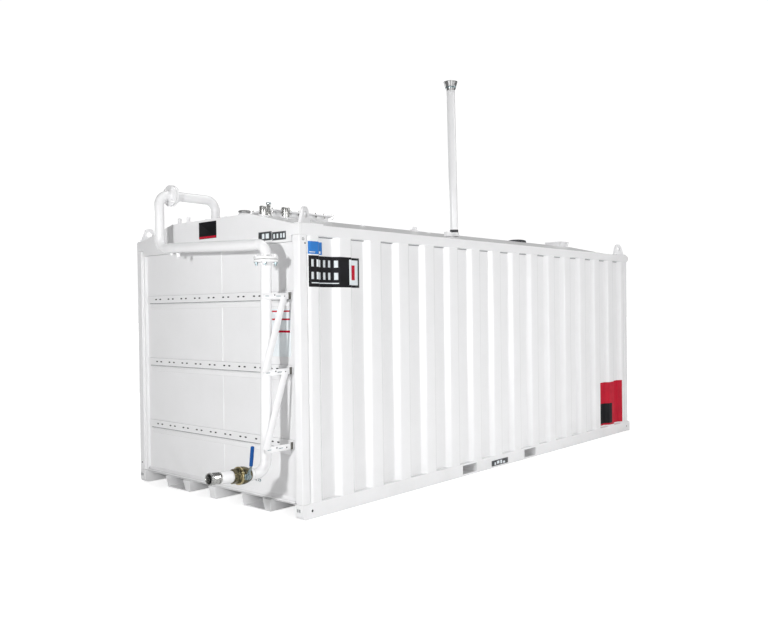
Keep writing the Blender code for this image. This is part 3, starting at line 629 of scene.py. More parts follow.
def sprayed_topcoat(name):
    """Two-pack polyurethane topcoat sprayed on steel plate.

    The eye gets an even, fairly glossy white with a faint orange peel, slow dents of the sheet
    behind it, and a trace of dust that gathers low down.
    """
    paint = tuple(bpy.context.scene.tank_colours.paint)
    material, tree, shader, place = new_finish(name, paint, 0.24)
    # Dust and dry overspray in patches about 0.3 m across, thicker in the lowest half metre
    cloud = noise(tree, place, 3.3, 5.0, Roughness=0.6)
    height = put(tree, "ShaderNodeSeparateXYZ", None, {"Vector": place}).outputs["Z"]
    low = ranged(tree, height, 0.0, 0.5, 0.22, 0.08, interpolation_type="SMOOTHSTEP")
    dust = joined(tree, "MULTIPLY", ranged(tree, cloud, 0.42, 0.72), low)
    mixed(tree, shader, dust, paint, linear("#CFCFCD"))
    tree.links.new(ranged(tree, dust, 0.0, 1.0, 0.22, 0.5), shader.inputs["Roughness"])
    # Orange peel is 1 to 3 mm across, too fine to show: it is drawn at 9 mm
    peel = noise(tree, place, 110.0, 2.0)
    # Dents left in the sheet between its welds, about 0.25 m across
    dents = noise(tree, place, 4.0, 1.0)
    deep = put(tree, "ShaderNodeMath", {"operation": "MULTIPLY", 1: 14.0}, {0: dents})
    raised(tree, shader, joined(tree, "ADD", deep.outputs[0], peel), 0.30, 0.0004)
    return material


def patchy(name, base, worn, patches, rough, band=None, relief=None, grain=None, even=False,
           stretch=None, waves=None, **sockets):
    """A finish that goes from its base colour to its worn one in the patches of a noise.

    patches: the noise's scale and detail. band: the part of it that counts, and how far it
    goes. rough: the roughness, and the two ends that the patches spread it between, by the
    noise itself if even. relief: the bump's strength and distance, raised by the patches, by a
    finer noise, grain, or by waves along Y. stretch scales the coordinates first.
    """
    ready = getattr(bpy.context.scene.tank_colours, base, None)
    base = tuple(ready) if ready else linear(base)
    material, tree, shader, place = new_finish(name, base, rough[0], **sockets)
    if stretch:
        place = put(tree, "ShaderNodeMapping", {"Scale": stretch}, {"Vector": place}).outputs[0]
    cloud = height = noise(tree, place, *patches)
    share = ranged(tree, cloud, band[0], band[1], 0.0, band[2]) if band else cloud
    mixed(tree, shader, share, base, linear(worn))
    if len(rough) > 1:
        spread = ranged(tree, cloud if even else share, 0.0, 1.0, rough[1], rough[2])
        tree.links.new(spread, shader.inputs["Roughness"])
    if grain:
        height = noise(tree, place, *grain)
    if waves:
        settings = {"bands_direction": "Y", "Scale": waves, "Distortion": 0.3}
        height = put(tree, "ShaderNodeTexWave", settings, {"Vector": place}).outputs["Fac"]
    if relief:
        raised(tree, shader, height, *relief)
    return material


# Self-adhesive vinyl on painted steel: an even semi-gloss colour, faded in patches of about
# 0.1 m, with faint bubbles of 17 mm
VINYL = {
    "patches": (9.0, 4.0), "band": (0.4, 0.8, 0.7), "rough": (0.5, 0.45, 0.6),
    "grain": (60.0, 1.0), "relief": (0.12, 0.0006), "Specular_IOR_Level": 0.2,
}
FINISHES = {
    # Forged brass dulled by handling: a yellow-brown metal with darker, greener patches of
    # 20 mm and a cast grain of 2 mm
    "forged_brass": {
        "base": "brass", "worn": "#3F4034", "patches": (48.0, 4.0), "band": (0.40, 0.66, 1.0),
        "rough": (0.3, 0.24, 0.46), "grain": (420.0, 2.0), "relief": (0.25, 0.0006),
        "Metallic": 1.0,
    },
    # Brass turned bright on the body's joint: one golden line round a duller body, worn in 14 mm
    # patches
    "machined_brass": {
        "base": "#D2C49A", "worn": "#8F8054", "patches": (70.0, 4.0), "band": (0.45, 0.7, 1.0),
        "rough": (0.22, 0.2, 0.36), "relief": (0.1, 0.0004), "Metallic": 1.0,
    },
    # Zinc plating with its blue-green passivation: a cool grey metal, cloudy in 15 mm patches
    ZINC: {
        "base": "#B9C6CB", "worn": "#6E7F80", "patches": (65.0, 3.0), "band": (0.38, 0.66, 1.0),
        "rough": (0.3, 0.26, 0.45), "relief": (0.15, 0.0008), "Metallic": 1.0,
    },
    # Stainless steel turned on a lathe: a bright mirror with the tool's marks, drawn 1.5 mm
    # apart instead of 0.2 mm so that they show
    STEEL: {
        "base": "#CFCFCD", "worn": "#8E8E8C", "patches": (90.0, 5.0), "band": (0.42, 0.7, 1.0),
        "rough": (0.14, 0.18, 0.34), "waves": 210.0, "relief": (0.035, 0.0004), "Metallic": 1.0,
    },
    # Vinyl dipped over the lever: a satin blue skin, slightly uneven every 33 mm where it ran
    "dipped_vinyl": {
        "base": "grip", "worn": "#02478A", "patches": (30.0, 3.0), "rough": (0.42, 0.34, 0.5),
        "relief": (0.3, 0.0015), "Specular_IOR_Level": 0.25,
    },
    # Sand-cast aluminium, weathered: a dull mid-grey with a sandy skin, drawn at 3 mm instead
    # of 0.5 mm
    "cast_alloy": {
        "base": "#7A7D7E", "worn": "#5A5D5F", "patches": (320.0, 3.0),
        "rough": (0.6, 0.42, 0.62), "relief": (0.3, 0.0008), "Metallic": 0.35,
    },
    # Black rubber and thread compound: a soft near-black with pale dust in 12 mm patches. The same
    # near-black also paints the shade inside holes, slots and bores
    RUBBER_AND_SHADE: {
        "base": "#26272A", "worn": "#75777A", "patches": (80.0, 4.0), "band": (0.45, 0.75, 0.5),
        "rough": (0.6, 0.5, 0.75), "even": True, "relief": (0.3, 0.001),
    },
    # Black anodised aluminium: a dark satin metal, its brushing drawn 2 mm wide along the plate
    "anodised_plate": {
        "base": "#3B3C3F", "worn": "#66686B", "stretch": (12.0, 12.0, 500.0),
        "patches": (1.0, 3.0), "rough": (0.38, 0.3, 0.5), "Metallic": 0.6,
    },
    "sign_vinyl": {"base": "sign", "worn": "#1C1C22", **VINYL},
    "notice_vinyl": {"base": "notice", "worn": "#3276C0", **VINYL},
    RED: {"base": "stripe", "worn": "#A81A30", **VINYL},
    PALE: {"base": "#E9EFF2", "worn": "#D5DCE0", **VINYL},
    # Painted shade: a matt mid-grey, uneven in patches of 30 mm, laid where shade falls at the
    # recess heads under the top rails, in the groove under each strap and in the slots of the feet
    SHADE_GREY: {
        "base": "#8E9092", "worn": "#7A7C7E", "patches": (34.0, 3.0), "rough": (0.8, 0.7, 0.9),
        "relief": (0.3, 0.001),
    },
    # Compressed fibre sheet, cut at its edge: a matt warm grey with fibres of 4 mm. The same
    # finish makes the dark block at each arm's root, painted shade for the gap there
    "fibre_gasket": {
        "base": "#77756F", "worn": "#4E4D49", "patches": (240.0, 4.0), "rough": (0.85,),
        "relief": (0.3, 0.0006),
    },
}


def finish_named(name):
    """A finish by name, made the first time it is asked for."""
    ready = bpy.data.materials.get(name)
    if ready:
        return ready
    return sprayed_topcoat(name) if name == WHITE else patchy(name, **FINISHES[name])


# ------------------------------------------------------------------ operators


class TANK_OT_frame(bpy.types.Operator):
    """Rounds and paints the rails, posts, lugs, headers, runners and floor"""

    bl_idname = "tank.frame"
    bl_label = "Frame and roof"

    def execute(self, context):
        edge = context.scene.tank_sizes.edge
        for side in ("right", "left"):
            painted(f"bottom_rail_{side}", edge)
            painted(f"top_rail_{side}", edge * 0.5)
            painted(f"end_pocket_{side}", edge * 0.4)
            for end in ("front", "rear"):
                painted(f"post_{end}_{side}", edge * 1.2)
                painted(f"lifting_lug_{end}_{side}", edge * 0.8)
        for node in ("front_header", "rear_deck", "end_wall_rear", "roof_panel", "floor_panel",
                     "centre_runner"):
            painted(node, edge * 0.5)
        return {"FINISHED"}


def wall_line(side, fold):
    """The long wall's line seen from above, with folded recesses of one pitch, as (x, y)."""
    outer, floor = side * WALL_OUTER, side * (WALL_OUTER - RIB_DEPTH)
    run = HALF_L - POST_SIDE - GAP
    start = RIB_START + np.arange(RIB_COUNT)[:, None] * RIB_PITCH
    along = start + np.array([0.0, RIB_SLANT, RIB_SLANT + RIB_FLOOR, 2 * RIB_SLANT + RIB_FLOOR])
    across = np.tile([outer, floor, floor, outer], RIB_COUNT)
    corners = np.stack([across, along.ravel()], axis=1)
    corners = np.vstack([[(outer, -run)], corners, [(outer, run)]])
    return filled_in(soften(corners, fold, 5), 0.06)


def wall_surface(line, low, high, side, rows, wave, out=0.0, slot=0):
    """The wall's line carried from low to high, with a slow ripple of its sheet.

    The ripple pushes x by wave times sin(5.2 y + 1.7 z), and by a half wave of sine between the
    rails, so that the sheet is held along its foot and head.
    """
    level = spans(low, high, rows)[:, None]
    across, along = line[None, :, 0], line[None, :, 1]
    held = np.sin(math.pi * (level - RAIL_TOP) / (TOP_RAIL_BOTTOM - RAIL_TOP))
    ripple = wave * np.sin(5.2 * along + 1.7 * level) * held
    return grid(points_of(across + side * out + ripple, along, level), slot, flip=side < 0)


class TANK_OT_long_walls(bpy.types.Operator):
    """Folds the corrugated long walls and welds them in"""

    bl_idname = "tank.long_walls"
    bl_label = "Long walls"

    def execute(self, context):
        low, high = RAIL_TOP + GAP, TOP_RAIL_BOTTOM - GAP
        for side, name in ((1, "right"), (-1, "left")):
            line = wall_line(side, context.scene.tank_sizes.fold)
            sheet = [wall_surface(line, low, high, side, 15, SHEET_RIPPLE)]
            thickened(piece(f"folded_wall_{name}", sheet, WHITE,
                            stands_for=[f"side_wall_{name}"]), 0.004)
            x, end = side * 1.2145, HALF_L - POST_SIDE
            beads = [line_bead((x, y, 0.13), (x, y, 2.32), 0.003) for y in (-end, end)]
            for z, radius in ((RAIL_TOP + 0.001, 0.003), (TOP_RAIL_BOTTOM - 0.001, 0.0025)):
                path = points_of(line[:, 0] + side * 0.001, line[:, 1], z)
                beads.append(swept(path, circle(6), radius))
            piece(f"wall_welds_{name}", beads, WHITE)
            # A grey strip across each recess's head paints the shade under the top rail's overhang
            heads = []
            for start in RIB_START + np.arange(RIB_COUNT) * RIB_PITCH:
                part = line[(line[:, 1] > start + 0.040) & (line[:, 1] < start + 0.204)]
                heads.append(wall_surface(part, *RECESS_HEAD_SHADE, side, 2, 0.0, 0.0012))
            thickened(piece(f"recess_head_joints_{name}", heads, SHADE_GREY), 0.001)
        return {"FINISHED"}


class TANK_OT_end_walls(bpy.types.Operator):
    """Sheets the front end wall, with its lip, seams and drain plug"""

    bl_idname = "tank.end_walls"
    bl_label = "Front end wall"

    def execute(self, context):
        inner, foot = HALF_W - POST_STEP - GAP, 0.126
        across = spans(-inner, inner, 61)[None]
        level = spans(foot, HEADER_BOTTOM - GAP, 55)[:, None]
        held = np.sin(math.pi * (across / inner + 1) / 2) * np.sin(
            math.pi * (level - foot) / (HEADER_BOTTOM - foot)
        )
        # The sheet bellies by up to 1.5 mm between its straps, as held sin(7 z) cos(3 x)
        belly = 0.0015 * held * np.sin(7.0 * level + 0.6) * np.cos(3.0 * across + 0.4)
        sheet = [grid(points_of(across, END_FACE + belly, level))]
        thickened(piece("sheeted_end_wall", sheet, WHITE, stands_for=["end_wall_front"]), 0.005)
        front = END_FACE - LIP_REACH
        lip = soften([
            (front, LIP_FOOT), (front - 0.0005, 0.136), (END_FACE - LIP_REACH / 2, 0.141),
            (END_FACE - LIP_REACH / 4, 0.150), (END_FACE - 0.001, LIP_TOP), (END_FACE, LIP_TOP),
            (END_FACE, LIP_FOOT),
        ], [0.001, 0.006, 0.006, 0.006, 0.0, 0.0, 0.0], 4, closed=True)
        face = END_FACE - 0.0005
        shapes = [slab(lip, -inner, inner, "X", 0.001)]
        for x, low, bead, pitch in ((0.125, 0.165, 0.0042, 0.02), (-inner, 0.17, 0.007, 0.03),
                                    (inner, 0.17, 0.007, 0.03)):
            shapes.append(line_bead((x, face, low), (x, face, 2.275), bead, pitch=pitch))
        shapes.append(line_bead((-inner, face, 2.279), (inner, face, 2.279), 0.003))
        piece("end_wall_seams", shapes, WHITE)
        back = face * 1000
        shapes = [
            plate(570, 238.5, 642, 261.5, 11.4, back - 10, back + 0.4, edge=3, steps=6),
            plate(578, 242, 634, 258, 7.9, back - 11.2, back - 9, edge=0.8, slot=1, steps=6),
        ]
        for x in (0.590, 0.618):
            spot = facing((x, face - 0.011, 0.250), (0, -1, 0))
            shapes.append(turned([(5.5, 1.2), (6, 0)], spot, 16, 2))
        piece("drain_plug", shapes, ZINC, WHITE, RUBBER_AND_SHADE)
        return {"FINISHED"}


def slotted_cell(x0, x1, z0, z1, centre, slot, front):
    """One flat cell of a strap: a sheet between its rectangle and its slot.

    The slot is the curve |x/a|^4 + |z/b|^4 = 1, and the points on the rectangle's four sides
    are drawn in to it along their rays.
    """
    corners = np.array([(x0, z0), (x1, z0), (x1, z1), (x0, z1)])
    steps = np.linspace(0.0, 1.0, 9)[None, :-1, None]
    after = np.roll(corners, -1, 0)
    rim = (corners[:, None] + (after - corners)[:, None] * steps).reshape(-1, 2)
    ray = rim - centre
    hole = centre + ray * np.sum(np.abs(ray / slot) ** 4, axis=1, keepdims=True) ** -0.25
    share = np.array([0.0, 0.25, 0.6, 1.0])[:, None, None]
    flat = hole[None] + (rim - hole)[None] * share
    return grid(points_of(flat[..., 0], front, flat[..., 1]), wrap_columns=True, flip=True)


def strap_border(x0, x1, z0, z1, rows):
    """The sheet round the cells: their rectangle carried out and back along rows.

    Each row holds how far it stands out from the rectangle at the sides, below and above, its
    depth, and how much of its two lower corners is cut off.
    """
    steps = np.linspace(0.0, 1.0, 145)[None, :-1, None]
    loops = []
    for wide, below, above, depth, cut in rows:
        (left, foot), (right, head) = (x0 - wide, z0 - below), (x1 + wide, z1 + above)
        corners = np.array([
            (left + cut, foot), (right - cut, foot), (right, foot + cut), (right, head),
            (left, head), (left, foot + cut),
        ])
        after = np.roll(corners, -1, 0)
        loop = (corners[:, None] + (after - corners)[:, None] * steps).reshape(-1, 2)
        loops.append(points_of(loop[:, 0], depth, loop[:, 1]))
    return grid(np.stack(loops), wrap_columns=True, flip=True)


class TANK_OT_straps(bpy.types.Operator):
    """Makes the slotted straps, the pipe arms and the braces of the front end"""

    bl_idname = "tank.straps"
    bl_label = "Straps, arms and braces"

    def execute(self, context):
        slot = np.array([context.scene.tank_sizes.slot / 2, SLOT_HALF_HEIGHT])
        for level, height in STRAP_LEVELS.items():
            self.strap(level, height, slot)
            self.backing(level, height)
            self.arm(level, height - 0.008)
        self.brace("upper", "upper", "middle")
        self.brace("lower", "middle", "lower")
        return {"FINISHED"}

    def strap(self, level, height, slot):
        """A sheet with nine pairs of slots, bent back to the wall along its head and foot."""
        pairs = PAIR_START + np.arange(PAIR_COUNT) * PAIR_PITCH
        holes = np.sort(np.concatenate([pairs - PAIR_HALF, pairs + PAIR_HALF]))
        end = STRAP_HALF - STRAP_MARGIN
        bounds = np.concatenate([[-end], (holes[1:] + holes[:-1]) / 2, [end]])
        wall = END_FACE - GAP
        front = wall - STRAP_THICK
        low, high = height - STRAP_CELL, height + STRAP_CELL
        shapes = [
            slotted_cell(x0, x1, low, high, np.array([hole, height]), slot, front)
            for x0, x1, hole in zip(bounds, bounds[1:], holes)
        ]
        below, above = -STRAP_CELL - STRAP_BENDS[1] + 0.002, STRAP_BENDS[0] - STRAP_CELL
        foot, wide = -STRAP_CELL - STRAP_FOOT, STRAP_MARGIN - 0.0005
        shapes.append(strap_border(bounds[0], bounds[-1], low, high, [
            (0.0, 0.0, 0.0, front, 0.0), (wide - 0.006, below, above - 0.003, front, 0.018),
            (wide, foot, above, wall - 0.001, 0.022), (wide, foot + 0.0004, above, wall, 0.022),
        ]))
        strap = piece(f"punched_strap_{level}", shapes, WHITE,
                      stands_for=[f"drilled_strap_{level}"], sharp=25.0)
        eased(strap, 0.0012, 2)

    def backing(self, level, height):
        """The plate behind a strap, a dark sheet behind its slots that paints the shade inside the
        hollow strap, its weld, and a grey line of painted shade in the groove under the strap's
        front.
        """
        wall, half = END_FACE - GAP, DOUBLER_HALF
        back = wall - DOUBLER_THICK
        foot, head = (height + end for end in DOUBLER_ENDS)
        slot_shade = rectangle((-half - 0.02, height - 0.012), (half + 0.02, height + 0.012))
        shapes = [
            slab(rectangle((-half, foot), (half, head), 0.02), back, wall, "Y", 0.0046),
            # A dark sheet behind the slots paints the shade inside the hollow strap
            slab(slot_shade, back - 0.0012, back + 0.001, "Y", 0.0004, slot=1),
        ]
        # The second bead is a grey line of painted shade in the groove under the strap's front
        for y, z, bead, finish, pitch in (
            (back, height + STRAP_FOOT - 0.004, 0.006, 0, 0.06),
            (wall - STRAP_THICK + 0.0035, height - 0.0390, 0.0034, 2, 0.2),
        ):
            shapes.append(line_bead((-half, y, z), (half, y, z), bead, finish, pitch))
        piece(f"strap_backing_{level}", shapes, WHITE, RUBBER_AND_SHADE, SHADE_GREY)

    def arm(self, level, height):
        """A flat arm beside the standpipe: its root plate and cleat, a dark block at its root that
        paints the shade of the gap there, and its bolts, with dark discs in their empty holes as
        painted shade.
        """
        wall = END_FACE - STRAP_THICK - 2 * GAP
        low, high = height - ARM_HALF, height + ARM_HALF
        side = ARM_X + ARM_THICK
        outline = soften([
            (wall - 0.032, low), (ARM_FRONT, low), (ARM_FRONT, high - 0.004),
            (wall - 0.032, high - 0.004),
        ], [0.001, 0.014, 0.014, 0.001], 5, closed=True)
        shapes = [
            slab(outline, ARM_X, side, "X", 0.0018),
            block((ARM_X - 0.045, wall - 0.008, low), (ARM_X + 0.004, wall, high), "Y", 0.004),
            # A dark block between the arm and its cleat paints the shade of the gap at the root
            block((ARM_X, wall - 0.029, low - 0.003), (ARM_X + 0.006, wall - 0.004, high + 0.003),
                  "X", 0.003, slot=3),
            block((ARM_X + 0.0005, wall - 0.002, low - 0.003),
                  (ARM_X + 0.0105, wall, high + 0.003), "X", 0.001, 0.0008),
        ]
        for y, z, bolted in ((-3.294, 0.006, False), (-3.180, 0.006, True),
                             (-3.076, -0.004, True)):
            spot = facing((side, y, height + z), (1, 0, 0))
            shapes.append(turned([(9.5, 2.2), (10.5, 1.2), (10.5, 0)], spot, 24))
            if bolted:
                hole = shifted(spot, z=0.0016)
                # A dark disc in each empty bolt hole paints the shade inside it
                shapes.append(turned([(6.2, 1.2), (6.2, 0)], hole, 20, 1, 0.2))
        for y0, y1 in ((-3276, -3236), (-3160, -3112)):
            z, x = 1000 * height, 1000 * side
            shapes.append(plate(y0, z - 6, y1, z + 1, 3.4, x - 1, x + 0.3, "X", 0.2, 2))
        piece(f"pipe_arm_{level}", shapes, WHITE, RUBBER_AND_SHADE, ZINC, "fibre_gasket",
              stands_for=[f"pipe_bracket_{level}"])

    def brace(self, level, high_level, low_level):
        """A folded flat brace from one arm's root to the front of the arm below.

        Its section is a shallow V with rounded edges, carried along a straight line.
        """
        top, foot = STRAP_LEVELS[high_level] - 0.014, STRAP_LEVELS[low_level]
        section = soften(np.array([
            (0.0, -0.035), (0.003, -0.0355), (0.006, -0.008), (0.0065, 0.006), (0.003, 0.0355),
            (0.0, 0.035),
        ]) + (ARM_X + ARM_THICK + GAP, 0.0), 0.0012, 2, closed=True)
        share = np.linspace(0.0, 1.0, 25)[:, None]
        middle = BRACE_ENDS[0] + (BRACE_ENDS[1] - BRACE_ENDS[0]) * share
        points = points_of(section[:, 0], middle + section[:, 1], top + (foot - top) * share)
        caps = points.mean(axis=1, keepdims=True) * np.ones((1, len(section), 1))
        points = np.concatenate([caps[:1], points, caps[-1:]])
        piece(f"folded_brace_{level}", [grid(points, wrap_columns=True, flip=True)], WHITE,
              stands_for=[f"pipe_strut_{level}"])


def pipe_y(height):
    """Where the standpipe's axis is at a height: its foot stands a little further out."""
    share = (height - RUN_Z) / (CROSS_Z - RUN_Z)
    return PIPE_FOOT_Y + share * (PIPE_TOP_Y - PIPE_FOOT_Y)


def run_matrix():
    """Places a piece made along +Z from the foot bend's corner onto the tilted valve run."""
    corner = Matrix.Translation((PIPE_X, PIPE_FOOT_Y, RUN_Z))
    return corner @ Matrix.Rotation(math.radians(90.0) - RUN_TILT, 4, "X")


def flange(face, away, bead, bare=False):
    """A flange from its face towards its pipe, with a hub, a weld and its side of four bolts.

    Bare bolts are zinc plated and show long studs; the others are painted over and short.
    """
    place = facing(face, away)
    shapes = [turned([
        (0, 48), (44.8, 48), (47.5, 28), (60, 22), (100, 22), (100, 2), (92, 2), (92, 0), (0, 0),
    ], place, 64, radius=(0, 1, 4, 6, 3, 2, 1, 1, 0), steps=3)]
    shapes.append(ring_bead(shifted(place, z=0.049), PIPE_RADIUS, bead))
    for quarter in range(4):
        angle = math.radians(45.0 + 90.0 * quarter)
        spot = place @ Vector((
            BOLT_CIRCLE * math.cos(angle), BOLT_CIRCLE * math.sin(angle), FLANGE_THICK
        ))
        shapes += fastener(facing(spot, away), 16.5, int(bare), 0.75 if bare else 0.1)
    return shapes


class TANK_OT_pipes(bpy.types.Operator):
    """Bends, flanges and welds the fill line"""

    bl_idname = "tank.pipes"
    bl_label = "Fill line"

    def execute(self, context):
        bead = context.scene.tank_sizes.bead
        lower = Vector((PIPE_X, pipe_y(FLANGE_Z), FLANGE_Z))
        upper = Vector((RISER_X, ROOF_FLANGE_Y, ROOF_RUN_Z))
        up, along = Vector((0, 0, 1)), Vector((0, 1, 0))
        # Each flange face stands half a gap from its joint's middle, and its pipe starts 20 mm in
        half, inset = GAP / 2, 0.02
        foot = run_matrix() @ Vector((0.0, 0.0, VALVE_START - GAP))
        corners = [foot, (PIPE_X, PIPE_FOOT_Y, RUN_Z), lower - up * inset]
        self.run("standpipe", corners, 0.105, bead, flange(lower - up * half, -up, bead, True))
        ends = flange(lower + up * half, up, bead) + flange(upper - along * half, -along, bead)
        corners = [
            lower + up * inset, (PIPE_X, PIPE_TOP_Y, CROSS_Z),
            (RISER_X, PIPE_TOP_Y, RISER_CROSS_Z), (RISER_X, PIPE_TOP_Y, ROOF_RUN_Z),
            upper - along * inset,
        ]
        self.run("cross_pipe", corners, 0.100, bead, ends)
        bottom = Vector((RISER_X, DOWN_Y, ROOF_TOP + GAP))
        seat = Matrix.Translation(bottom)
        ends = flange(upper + along * half, along, bead) + [
            turned([(47, 20), (62, 15), (62, 0)], seat, radius=3),
            ring_bead(shifted(seat, z=0.021), 0.046, bead),
            ring_bead(shifted(seat, z=0.002), 0.063, bead),
        ]
        corners = [upper + along * inset, (RISER_X, DOWN_Y, ROOF_RUN_Z), bottom]
        self.run("roof_pipe", corners, 0.105, bead, ends)
        piece("gaskets", [
            turned([(93, 1.8), (94.5, 0), (93, -1.8)], facing(face, axis), 48, 1)
            for face, axis in ((lower, up), (upper, along))
        ], WHITE, "fibre_gasket")
        # The two small rests that carry the cross pipe on the end wall
        piece("pipe_rests", [
            turned([(15, reach), (19, 4), (19, -4)], facing((x, PIPE_TOP_Y, z), (0, 0, -1)), 24,
                   radius=3)
            for x, z, reach in ((-0.31, 2.252, 18), (-0.21, 2.248, 36))
        ], WHITE)
        return {"FINISHED"}

    def run(self, node, corners, radius, bead, ends):
        """One pipe along its corners, with a weld at each end of each bend."""
        path, joints = bend_line(corners, radius)
        shapes = [swept(path, circle(40), PIPE_RADIUS)]
        for spot, along in joints[1 if node == "standpipe" else 0:]:
            shapes.append(ring_bead(facing(spot, along), PIPE_RADIUS, bead * 0.3))
        piece(f"bent_{node}", shapes + ends, WHITE, ZINC, stands_for=[node])


class TANK_OT_valve(bpy.types.Operator):
    """Makes the ball valve, its lever, the sleeve and the hose nipple"""

    bl_idname = "tank.valve"
    bl_label = "Ball valve"

    def execute(self, context):
        place = run_matrix()
        stem = place @ Vector((0.0, 0.0, VALVE_MIDDLE))
        self.body(place, facing(stem, (1, 0, 0)))
        # The white coupling that the fill line ends in, over the valve's inlet
        piece("inlet_coupling", [
            turned([(49.5, 173), (52, 168), (52, 149), (45.5, 139)], place, 56, 0, 2, 3)
        ], WHITE)
        self.outlet(place)
        self.lever(stem)
        return {"FINISHED"}

    def body(self, place, out):
        """The body's rows from round to hexagon, its bright ring, its stem and its stop plate.

        Each row is its height along the run and radius in mm, and how far its section goes to a
        hexagon with its corners cut at 1.115.
        """
        rows = np.array([
            (174, 0, 0), (174, 50.5, 0), (180, 54, 0), (200, 62, 0), (219, 67.5, 0), (237, 70, 0),
            (253, 69.5, 0), (263, 66, 0), (265, 61, 0), (269, 61, 0), (289, 61, 0), (295, 60, 0),
            (302, 55, 0), (305, 49, 0), (307, 49, 0.6), (311, 52.5, 1), (341, 52.5, 1),
            (345, 49, 1), (345, 0, 1),
        ]) / (1000, 1000, 1)
        rows = soften(rows, 0.0022, 3)
        angle = np.arange(72)[None] * TURN / 72
        corner = np.minimum(hexagon(angle), 1.115)
        radius = rows[:, 1:2] * (1 + rows[:, 2:3] * (corner - 1))
        shapes = [
            grid(placed(around(radius, angle, rows[:, :1]), place), wrap_columns=True),
            turned([(55, 287), (68.5, 287), (71.5, 283), (71.5, 271), (68.5, 267), (55, 267)],
                   place, 72, 2, 2.2, ring=True),
            turned([(21, 74), (23, 66), (31, 64), (34, 50), (34, 0)], out, 40, 0, 2, 3),
        ]
        points, faces, slot = plate(-30, -22, 30, 22, 10, 73.8, 78.8, "Z", 1, 1)
        shapes.append((placed(points, out), faces, slot))
        for turn in (0.55, 2.6):
            stop = shifted(out @ Matrix.Rotation(turn, 4, "Z"), x=0.027, z=0.062)
            shapes.append(turned([(4, 14), (5, 12), (5, 0)], stop, 16))
        piece("forged_valve_body", shapes, "forged_brass", ZINC, "machined_brass",
              stands_for=["valve_body"])

    def outlet(self, place):
        """The white sleeve and the threaded nipple, turned about the run."""
        piece("outlet_sleeve", [
            turned([(48.5, 458), (49, 357), (46.5, 355), (46.5, 345.3)], place, 56, 0, 1.8, 3),
            ring_bead(shifted(place, z=0.457), 0.0475, 0.0022),
        ], WHITE, stands_for=["pipe_sleeve"])
        # Thread of 5 mm pitch, coarser than the real 2.3 mm so that its ridges show
        pitch = 479.3 + 5 * np.arange(10)
        ridge = np.stack([
            np.tile([42.5, 45.5, 42.5], len(pitch)),
            (pitch[:, None] + (0, 2.5, 4.8)).ravel(),
        ], axis=1)[::-1]
        profile = np.vstack([
            [(36, 469), (37.5, 553), (39.5, 557), (46.5, 557), (48, 555), (48, 538), (46.5, 536),
             (41.5, 535), (41.5, 530)],
            ridge,
            [(41.5, 476.3), (41.5, 471.3), (45.5, 470.3), (46, 468.3), (46, 458.3)],
        ])
        piece("threaded_nipple", [
            turned(profile, place, 64),
            # A dark disc across the bore paints the shade inside the nipple
            turned([(0, 2), (35.5, 1), (35.5, 0)], shifted(place, z=0.470), 40, 1),
        ], STEEL, RUBBER_AND_SHADE, stands_for=["hose_nipple"], sharp=28.0)

    def lever(self, stem):
        """The pressed lever and its grip: a flat section carried along a bent line.

        The grip's section swells by 5% as a squared half wave of sine, and its end is closed by
        a quarter of an ellipse over the last twentieth of its length.
        """
        hub = stem + Vector((0.082 + GAP, 0.0, 0.0))
        lean = Matrix.Translation(hub) @ Matrix.Rotation(-LEVER_LEAN, 4, "X")
        line = soften([(0.0035, 0.0, -0.026), (0.0035, 0.0, 0.036), (0.021, 0.0, 0.066),
                       (0.021, 0.0, 0.083)], 0.012, 6)
        line = filled_in(line, 0.006)
        half = np.interp(line[:, 2], [-0.026, -0.022, -0.012, 0.012, 0.034, 0.083],
                         [0.008, 0.013, 0.0175, 0.0175, 0.0120, 0.0105])
        scale = np.stack([np.full_like(half, 0.0034), half], axis=1)
        piece("pressed_lever", [
            swept(placed(line, lean), rectangle((-1, -1), (1, 1), 0.35, 3), scale),
            nut(lean @ facing((0.0068, 0, 0), (1, 0, 0)), 0.034, 0.0125),
            turned([(6.5, 12), (8, 10), (8, 0)], lean @ facing((0.0105, 0, 0), (1, 0, 0)), 20),
        ], ZINC, body="lever", stands_for=["valve_lever"])
        rise = np.linspace(0.0, 1.0, 41)
        bulge = 1 + 0.05 * np.sin(math.pi * rise) ** 2
        edge = np.sqrt(np.clip(1 - np.clip((rise - 0.95) / 0.05, 0, 1) ** 2, 0.02, 1))
        size = edge * np.clip(0.86 + rise * 6, 0.0, 1.0)
        half = np.stack([0.0078 * bulge * size, 0.0158 * bulge ** 0.3 * size], axis=1)
        path = points_of(0.021, 0.0, 0.0832 + 0.1560 * rise)
        grip = swept(placed(path, lean), rectangle((-1, -1), (1, 1), 0.75, 6), half)
        piece("vinyl_grip", [grip], "dipped_vinyl", body="lever", stands_for=["lever_grip"])


def shoulder_z(x):
    """Height of the roof's shoulder at a distance from the middle."""
    share = (abs(x) - ROOF_FLAT) / (ROOF_EDGE - ROOF_FLAT)
    return ROOF_TOP + max(share, 0.0) * (ROOF_EDGE_Z - ROOF_TOP)


def roof_slope(x, y):
    """A matrix at a place on the roof, standing square to its sheet."""
    fall = (ROOF_TOP - ROOF_EDGE_Z) / (ROOF_EDGE - ROOF_FLAT) if abs(x) > ROOF_FLAT else 0.0
    return facing((x, y, shoulder_z(x) + GAP), (math.copysign(fall, x), 0.0, 1.0))


